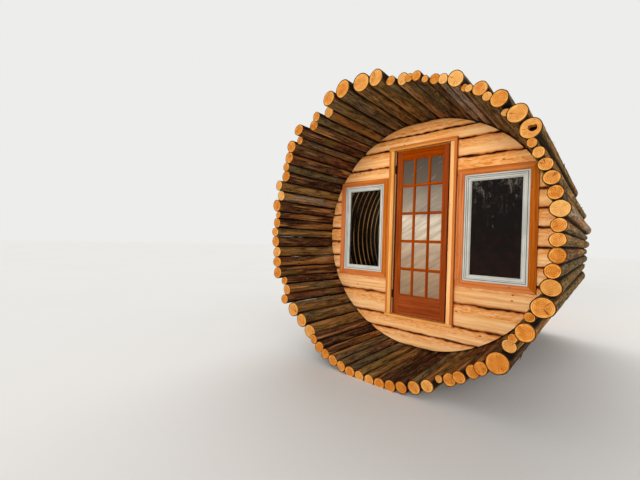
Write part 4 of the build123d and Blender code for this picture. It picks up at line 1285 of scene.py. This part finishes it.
# %% [markdown]
# Extruded vinyl is smooth and a little glossy. A plain white would look new, and these windows have a grey
# cast of dust. So wide, faint noise greys it, and the mark of the groove's points paints shade in it.

# %% Vinyl
def vinyl():
    """Extruded PVC, white gone grey: smooth, so a soft sheen runs along each bar."""
    material, tree, shader = start_material("extruded_white_vinyl", Roughness=0.45, IOR=1.53,
                                            Specular_IOR_Level=0.3)
    place = put(tree, "ShaderNodeTexCoord", out="Object")
    dust = put(tree, "ShaderNodeTexNoise", {"Vector": place, "Scale": noise_scale(170), "Detail": 4.0})
    colour = put(tree, "ShaderNodeValToRGB", {0: dust}, stops=[(0.3, "#BBBCB3"), (0.6, "#CDCDC4")])
    groove = put(tree, "ShaderNodeAttribute", out="Fac", attribute_name="mark")
    # Painted shade in the groove.
    groove_shade = put(tree, "ShaderNodeMapRange", {0: groove, 1: 0.1, 2: 0.9, 3: 0.0, 4: 0.85})
    colour = put(tree, "ShaderNodeMix", {0: groove_shade, 6: colour, 7: "#4A4840"}, out=2, data_type="RGBA")
    pores = put(tree, "ShaderNodeTexNoise", {"Vector": place, "Scale": noise_scale(4), "Detail": 2.0})
    return finish_material(material, tree, shader, colour, pores, depth=0.0001)


white_vinyl = vinyl()
print("vinyl:", white_vinyl.name, "with", len(white_vinyl.node_tree.nodes), "nodes")

# %% [markdown]
# Trim of red cedar covers the gap round each window, mitred in the same way. A joiner scribes it where it
# would run into the logs. A boolean with a cylinder could cut it, but drawing back the points that lie
# outside the round gives the same line with clean faces. The four boards of a window differ in tone.

# %% Windows and their trim
SCRIBE_RADIUS = 1.375  # just outside the round wall and inside the logs
TRIM_TONES = (0.62, 0.03, 0.35, 0.72)  # foot, right, head and left board


def scribed(shape, radius):
    """Draw points that lie outside a round about the barrel's axis back onto it."""
    x, z = shape["points"][:, 0], shape["points"][:, 2] - AXIS_HEIGHT
    share = np.minimum(1, radius / np.hypot(x, z))
    shape["points"][:, 0], shape["points"][:, 2] = x * share, z * share + AXIS_HEIGHT
    return shape


for order, side in enumerate(("left", "right")):
    nodes = [f"{side}_window_{part}" for part in ("frame", "sash", "glass", "trim")]
    (frame_low, frame_high), (sash_low, sash_high), (pane_low, _), (trim_low, trim_high) = (
        map(np.array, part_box(node)) for node in nodes)
    first = 200 + 20 * order
    section = frame_section(sash_low[0] - frame_low[0], frame_high[1] - frame_low[1])
    in_groove = (section[:, 0] >= GROOVE_FROM) & (section[:, 0] <= GROOVE_TO)
    bars = mitred_ring(section, frame_low, frame_high, frame_high[1], first, marks=in_groove[None, :] * 1.0)
    piece(f"{side}_vinyl_frame", bars, [white_vinyl], nodes[:1], crease=30)
    section = sash_section(pane_low[0] - sash_low[0], sash_high[1] - sash_low[1])
    bars = mitred_ring(section, sash_low, sash_high, sash_high[1], first + 8)
    piece(f"{side}_vinyl_sash", bars, [white_vinyl], nodes[1:2], crease=30)
    width, thickness = frame_low[2] - trim_low[2], trim_high[1] - trim_low[1]
    section = rounded(width, thickness) + (width / 2, thickness / 2)
    bars = mitred_ring(section, trim_low, trim_high, trim_high[1], first + 16, TRIM_TONES)
    bars = [scribed(each, SCRIBE_RADIUS) for each in bars]
    piece(f"{side}_cedar_trim", bars, [red_board], nodes[3:], crease=30)

# %% [markdown]
# Between the two walls the logs lie on a liner of corrugated steel sheet, rolled round. It shows through the
# left window as a row of golden arcs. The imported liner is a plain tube, and a bump in its material would not
# show at its edge. So its radius follows a cosine along the barrel, 125 mm from crest to crest.

# %% Corrugated liner
CORRUGATION = 0.125
SHEET = 0.002
LINER_AROUND = 96
SAMPLES = 12  # rings for each corrugation


def corrugated_liner(node):
    """Radius = middle radius + half the depth * cosine(2 pi y / pitch), and the same less the sheet."""
    low, high = map(np.array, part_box(node))
    outer = (high[2] - low[2]) / 2
    inner = min(np.hypot(p[0], p[2] - AXIS_HEIGHT) for p in solids(node)[0])
    swing = (outer - inner - SHEET) / 2
    y = np.linspace(low[1], high[1], int((high[1] - low[1]) / CORRUGATION * SAMPLES))
    crest = np.cos(2 * pi * (y - low[1]) / CORRUGATION)
    radius = (outer + inner) / 2 + swing * crest
    turn = np.linspace(0, 2 * pi, LINER_AROUND, endpoint=False)
    y = np.concatenate([y, y[::-1]])
    radius = np.concatenate([radius + SHEET / 2, (radius - SHEET / 2)[::-1]])
    crest = np.concatenate([crest, crest[::-1]])
    across, up = radius[:, None] * np.sin(turn), AXIS_HEIGHT + radius[:, None] * np.cos(turn)
    place = np.stack([across, np.broadcast_to(y[:, None], across.shape), up], axis=-1)
    rings = skin(place, place, 0.5, crest[:, None])
    rows, columns, _ = rings.shape
    wrapped = ring_quads(rows + 1, columns) % (rows * columns)
    return {"points": rings.reshape(rows * columns, -1), "faces": [wrapped]}


liner = corrugated_liner("barrel_liner")
print("points of the liner:", len(liner["points"]))

# %% [markdown]
# The sheet is zinc-coated steel. In the real sauna its inner crests catch warm light that the wood throws on
# them, and the rest lies in shade. A lamp inside would also light the walls. So the sheet is painted dark
# brown as that shade, its crests get a painted golden glint, and they get a little light of their own, only
# there and in patches.

# %% Zinc-coated steel
def galvanised():
    """Zinc-coated steel sheet: a metal, painted dark brown as shade, with a painted golden glint along the
    crests. Under dust it is only partly metallic to the eye."""
    material, tree, shader = start_material("galvanised_sheet", Metallic=0.6, Roughness=0.5,
                                            Emission_Strength=1.3)
    crest = put(tree, "ShaderNodeAttribute", out="Fac", attribute_name="mark")
    place = put(tree, "ShaderNodeTexCoord", out="Object")
    spangle = put(tree, "ShaderNodeTexNoise", {"Vector": place, "Scale": noise_scale(25), "Detail": 3.0})
    # Painted shade: dark brown all over; the crests get a painted golden glint below.
    colour = put(tree, "ShaderNodeValToRGB", {0: spangle}, stops=[(0.3, "#241C12"), (0.7, "#3C3020")])
    painted_glint = put(tree, "ShaderNodeMapRange", {0: crest, 1: -0.86, 2: -0.97}, interpolation_type="SMOOTHSTEP")
    colour = put(tree, "ShaderNodeMix", {0: painted_glint, 6: colour, 7: "#F6D08A"}, out=2, data_type="RGBA")
    wide = put(tree, "ShaderNodeTexNoise", {"Vector": place, "Scale": noise_scale(455), "Detail": 2.0})
    lit = put(tree, "ShaderNodeMapRange", {0: wide, 1: 0.35, 2: 0.65})
    lit = put(tree, "ShaderNodeMath", {0: lit, 1: painted_glint}, operation="MULTIPLY")
    glow = put(tree, "ShaderNodeMix", {0: lit, 6: "#000000", 7: "#F0B468"}, out=2, data_type="RGBA")
    tree.links.new(glow, shader.inputs["Emission Color"])
    return finish_material(material, tree, shader, colour, spangle, depth=0.0005)


piece("steel_liner", [liner], [galvanised()], ["barrel_liner"], crease=60)

# %% [markdown]
# The door's small panes are of milky glass. Their colour is a painted reflection: palest in the middle row,
# darker above and browner below, with slanting runs, darker and brighter. A rough see-through glass could
# do it, but what lies behind it would have to be modelled and lit. The glass is milky, so the panes are
# made opaque.

# %% Panes painted with a reflection
RUN_SLANT = -32  # degrees that the runs of the drops lean
RUN_LENGTH, RUN_WIDTH = 0.344, 0.047  # metres, along a run and across it
REFLECTION_COLOURS = [(0.0, "#94775A"), (0.19, "#A98C6F"), (0.24, "#AD9276"), (0.37, "#B9A38A"),
                (0.43, "#D2C2A8"), (0.56, "#DACDB6"), (0.62, "#9E8F7C"), (0.78, "#84786A"),
                (0.82, "#625649"), (1.0, "#4E4339")]


def glass_painted_with_reflection():
    """Milky float glass: faint gloss over a painted reflection with slanting runs."""
    material, tree, shader = start_material("milky_glass_painted_reflection", Roughness=0.35, IOR=1.5,
                                            Specular_IOR_Level=0.15)
    place = put(tree, "ShaderNodeTexCoord", out="Object")
    height = put(tree, "ShaderNodeSeparateXYZ", {0: place}, out=2)
    # Painted reflection: its colour follows the height on the door.
    reflection_height = put(tree, "ShaderNodeMapRange", {0: height, 1: field_low[2], 2: field_high[2]})
    colour = put(tree, "ShaderNodeValToRGB", {0: reflection_height}, stops=REFLECTION_COLOURS)
    turned = {0: place, 2: (0.0, radians(RUN_SLANT), 0.0), 3: (RUN_LENGTH, RUN_LENGTH, RUN_WIDTH)}
    slanted = put(tree, "ShaderNodeMapping", turned, vector_type="TEXTURE")
    run_noise = {"Vector": slanted, "Scale": 1.0, "Detail": 4.0, "Roughness": 0.6}
    runs = put(tree, "ShaderNodeTexNoise", run_noise)
    darker_runs = put(tree, "ShaderNodeMapRange", {0: runs, 1: 0.42, 2: 0.66, 3: 0.0, 4: 0.45})
    colour = put(tree, "ShaderNodeMix", {0: darker_runs, 6: colour, 7: "#5E5348"}, out=2, data_type="RGBA")
    bright = put(tree, "ShaderNodeMapRange", {0: runs, 1: 0.38, 2: 0.24, 3: 0.0, 4: 0.35})
    colour = put(tree, "ShaderNodeMix", {0: bright, 6: colour, 7: "#CFC4B0"}, out=2, data_type="RGBA")
    return finish_material(material, tree, shader, colour, runs, depth=0.001)


pane_glass = glass_painted_with_reflection()
print("panes:", len(pane_boxes), "with", pane_glass.name)

# %% [markdown]
# The left window is clear and lets the liner show. The right one is dark glass, with a painted reflection of
# grey blotches at its head. Glass that bends light needs many samples, and the thin sealed panes hardly bend
# it. So both are nearly mirror smooth surfaces that cover only a share of what lies behind, painted
# brown-black as the dark room.

# %% Window glass
def window_glass(name, cover, node, stops):
    """Sealed float glass over a dark room: nearly mirror smooth, partly see-through, painted brown-black as
    the room's shade. Blotches of noise cover a share of the view, browner at the foot and cooler and more
    blotchy at the head, as a painted reflection."""
    low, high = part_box(node)
    material, tree, shader = start_material(name, Roughness=0.04, IOR=1.52, Specular_IOR_Level=0.10,
                                            Alpha=cover)
    place = put(tree, "ShaderNodeTexCoord", out="Object")
    tall = put(tree, "ShaderNodeVectorMath", {0: place, 1: (1.0, 1.0, 0.6)}, operation="MULTIPLY")
    dust = {"Vector": tall, "Scale": noise_scale(50), "Detail": 5.0, "Roughness": 0.8}
    blotches = put(tree, "ShaderNodeTexNoise", dust)
    height = put(tree, "ShaderNodeSeparateXYZ", {0: place}, out=2)
    blotchy = put(tree, "ShaderNodeMapRange", {0: height, 1: low.z, 2: high.z, 3: -0.13, 4: 0.11})
    blotchy = put(tree, "ShaderNodeMath", {0: blotches, 1: blotchy}, operation="ADD")
    colour = put(tree, "ShaderNodeValToRGB", {0: blotchy}, stops=stops)
    return finish_material(material, tree, shader, colour, blotches, depth=0.0001)


# Both colour lists are painted: brown-black as the room's shade, and the right one's greys at its head as a
# painted reflection.
clear = [(0.42, "#080504"), (0.72, "#2E2218")]
reflection_stops = [(0.34, "#24120B"), (0.46, "#100906"), (0.58, "#100C0A"), (0.64, "#2A241F"), (0.70, "#5E574E")]
left_glass = window_glass("clear_window_glass", 0.38, "left_window_glass", clear)
right_glass = window_glass("dark_glass_painted_reflection", 0.86, "right_window_glass", reflection_stops)
print("window glass:", left_glass.name, "and", right_glass.name)

# %% [markdown]
# The door hangs on two dark butt hinges. Their shape is packed, down to the bored knuckles, so nothing is
# modelled here. Bare steel would shine, but hinge steel is blued and oiled against rust. So it is a metal
# with the default IOR, dark, and rough enough for a broad soft highlight.

# %% Hinge steel
def dark_steel():
    """Hinge steel, blued and oiled: dark, with a broad soft highlight."""
    material, tree, shader = start_material("oiled_hinge_steel", Metallic=1.0, Roughness=0.45)
    place = put(tree, "ShaderNodeTexCoord", out="Object")
    oil = put(tree, "ShaderNodeTexNoise", {"Vector": place, "Scale": noise_scale(16), "Detail": 3.0})
    colour = put(tree, "ShaderNodeValToRGB", {0: oil}, stops=[(0.3, "#2E2620"), (0.7, "#5C4E40")])
    return finish_material(material, tree, shader, colour, oil, depth=0.0003)


steel = dark_steel()
print("hinges:", steel.name)

# %% [markdown]
# Backing boards, posts, joists, floor, hinges and glass are already the right shape. They could be modelled
# again with finer edges, but they are hidden, small or flat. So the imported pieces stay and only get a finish.

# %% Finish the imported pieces
packed_finishes = {
    "front_wall_backing": backing_board, "rear_wall_backing": inner_board, "floor_boards": floor_board,
    "floor_joists": joist_board, "window_posts": post_board, "door_panes": pane_glass,
    "left_window_glass": left_glass, "right_window_glass": right_glass,
    "hinge_jamb_plates": steel, "hinge_leaf_plates": steel,
}
for node, finish in packed_finishes.items():
    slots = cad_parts[node].data.materials
    slots.clear()
    slots.append(finish)
print("packed pieces finished:", len(packed_finishes), "- new triangles:", sum(triangles_made))

# %% [markdown]
# A maker photographs a piece on a plain floor. A curved backdrop would need a place for its bend, and other
# views would see behind it. So the stage is one flat sheet that reaches to the horizon, in a matt white that
# shows a soft shadow under the logs and nothing else.

# %% Floor
FLOOR_HALF = 60.0


def pale_floor():
    """Matt painted studio floor, warm white: no gloss, so that it stays even to the horizon."""
    material, tree, shader = start_material("pale_studio_floor", Roughness=1.0, Specular_IOR_Level=0.0)
    place = put(tree, "ShaderNodeTexCoord", out="Object")
    paint = put(tree, "ShaderNodeTexNoise", {"Vector": place, "Scale": noise_scale(2500), "Detail": 2.0})
    colour = put(tree, "ShaderNodeValToRGB", {0: paint}, stops=[(0.3, "#EFEEEC"), (0.7, "#F1F0EE")])
    return finish_material(material, tree, shader, colour, paint, depth=0.0001)


corners = np.array([(-1, -1, 0), (1, -1, 0), (1, 1, 0), (-1, 1, 0)]) * FLOOR_HALF
floor_mesh = bpy.data.meshes.new("studio_floor")
floor_mesh.from_pydata(corners.tolist(), [], [(0, 1, 2, 3)])
floor_mesh.materials.append(pale_floor())
floor = bpy.data.objects.new("studio_floor", floor_mesh)
bpy.context.scene.collection.objects.link(floor)
floor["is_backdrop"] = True
print("floor:", 2 * FLOOR_HALF, "m wide")

# %% [markdown]
# Soft light that comes evenly from all sides shows wood best, and the world can give it. It could simply be
# white, but then its strength would set both the light and the background. So the world has two colours. One
# gives the light. The other is what the camera, mirrors and glass see, and it adds no light to the wood.

# %% World
world = bpy.data.worlds.new("studio")
bpy.context.scene.world = world
world.use_nodes = True
sky = world.node_tree
sky.nodes.clear()
path = put(sky, "ShaderNodeLightPath").node
seen = put(sky, "ShaderNodeMath", {0: path.outputs["Is Camera Ray"], 1: path.outputs["Is Glossy Ray"]},
           operation="MAXIMUM")
seen = put(sky, "ShaderNodeMath", {0: seen, 1: path.outputs["Is Transmission Ray"]}, operation="MAXIMUM")
soft = put(sky, "ShaderNodeBackground", {0: "#F6F4F0", 1: 0.60})
plain = put(sky, "ShaderNodeBackground", {0: "#EDEDEC", 1: 1.0})
either = put(sky, "ShaderNodeMixShader", {0: seen, 1: soft, 2: plain})
output = sky.nodes.new("ShaderNodeOutputWorld")
sky.links.new(either, output.inputs[0])
print("world nodes:", len(sky.nodes))

# %% [markdown]
# Light from everywhere leaves round logs flat, so three lamps give them a lit and a shaded side. One faces
# the porch, a weak one comes from the right, and one comes from behind for the roof. Small lamps near by
# would light the near logs more than the far ones. Suns light all of them alike, and a wide sun has soft
# shadows.

# %% Lamps
def far_lamp(name, towards_lamp, strength, angle):
    """Sun lamp that shines from a direction. The angle is how wide it looks, so shadows soften with it."""
    light = bpy.data.lights.new(name, "SUN")
    light.energy, light.angle = strength, radians(angle)
    made = bpy.data.objects.new(name, light)
    made.rotation_euler = Vector(towards_lamp).to_track_quat("Z", "Y").to_euler()
    made.visible_glossy = False  # glass and vinyl mirror the plain world, and no disc of a lamp
    bpy.context.scene.collection.objects.link(made)


far_lamp("front_lamp", (-0.06, -1.0, 0.07), 2.7, 26)
far_lamp("side_lamp", (0.9, -0.8, 0.35), 0.5, 50)
far_lamp("rear_lamp", (-0.6, 1.0, 1.1), 1.3, 60)
print("lamps:", len(bpy.data.lights))

# %% [markdown]
# The camera stands at the photograph's viewpoint, to the right of the porch at chest height, and looks 41
# degrees to the left through a wide lens. It could be turned by eye until the picture fits. Here its place,
# turns and lens were solved from the log ends and the corners of door and windows, and are given as they
# came out. Three directions at right angles make its rotation.

# %% Camera
CAMERA_PLACE = Vector((1.6625, -4.4754, 1.3519))
YAW, PITCH, ROLL = radians(41.496), radians(0.055), radians(1.787)
LENS, SENSOR = 18.095, 36.0
forward = Vector((-sin(YAW) * cos(PITCH), cos(YAW) * cos(PITCH), sin(PITCH)))
level_right = Vector((cos(YAW), sin(YAW), 0))
level_up = level_right.cross(forward)
right = cos(ROLL) * level_right + sin(ROLL) * level_up
up = -sin(ROLL) * level_right + cos(ROLL) * level_up
camera_data = bpy.data.cameras.new("photograph_camera")
camera_data.lens, camera_data.sensor_width = LENS, SENSOR
camera_data.clip_start, camera_data.clip_end = 0.05, 200
camera = bpy.data.objects.new("photograph_camera", camera_data)
camera.matrix_world = Matrix((right, up, -forward)).transposed().to_4x4()
camera.location = CAMERA_PLACE
bpy.context.scene.collection.objects.link(camera)
bpy.context.scene.camera = camera
bpy.context.scene.view_settings.view_transform = "Standard"
print("camera at", [round(value, 3) for value in CAMERA_PLACE])

# %% [markdown]
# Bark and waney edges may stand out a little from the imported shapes, but the sauna must keep its size. That
# could be judged by eye, but numbers are surer. So both sizes are written down side by side.

# %% Compare sizes and finish
dressed_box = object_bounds()
for name, box in (("packed", cad_box), ("dressed", dressed_box)):
    print(name, [[round(value, 3) for value in corner] for corner in box])
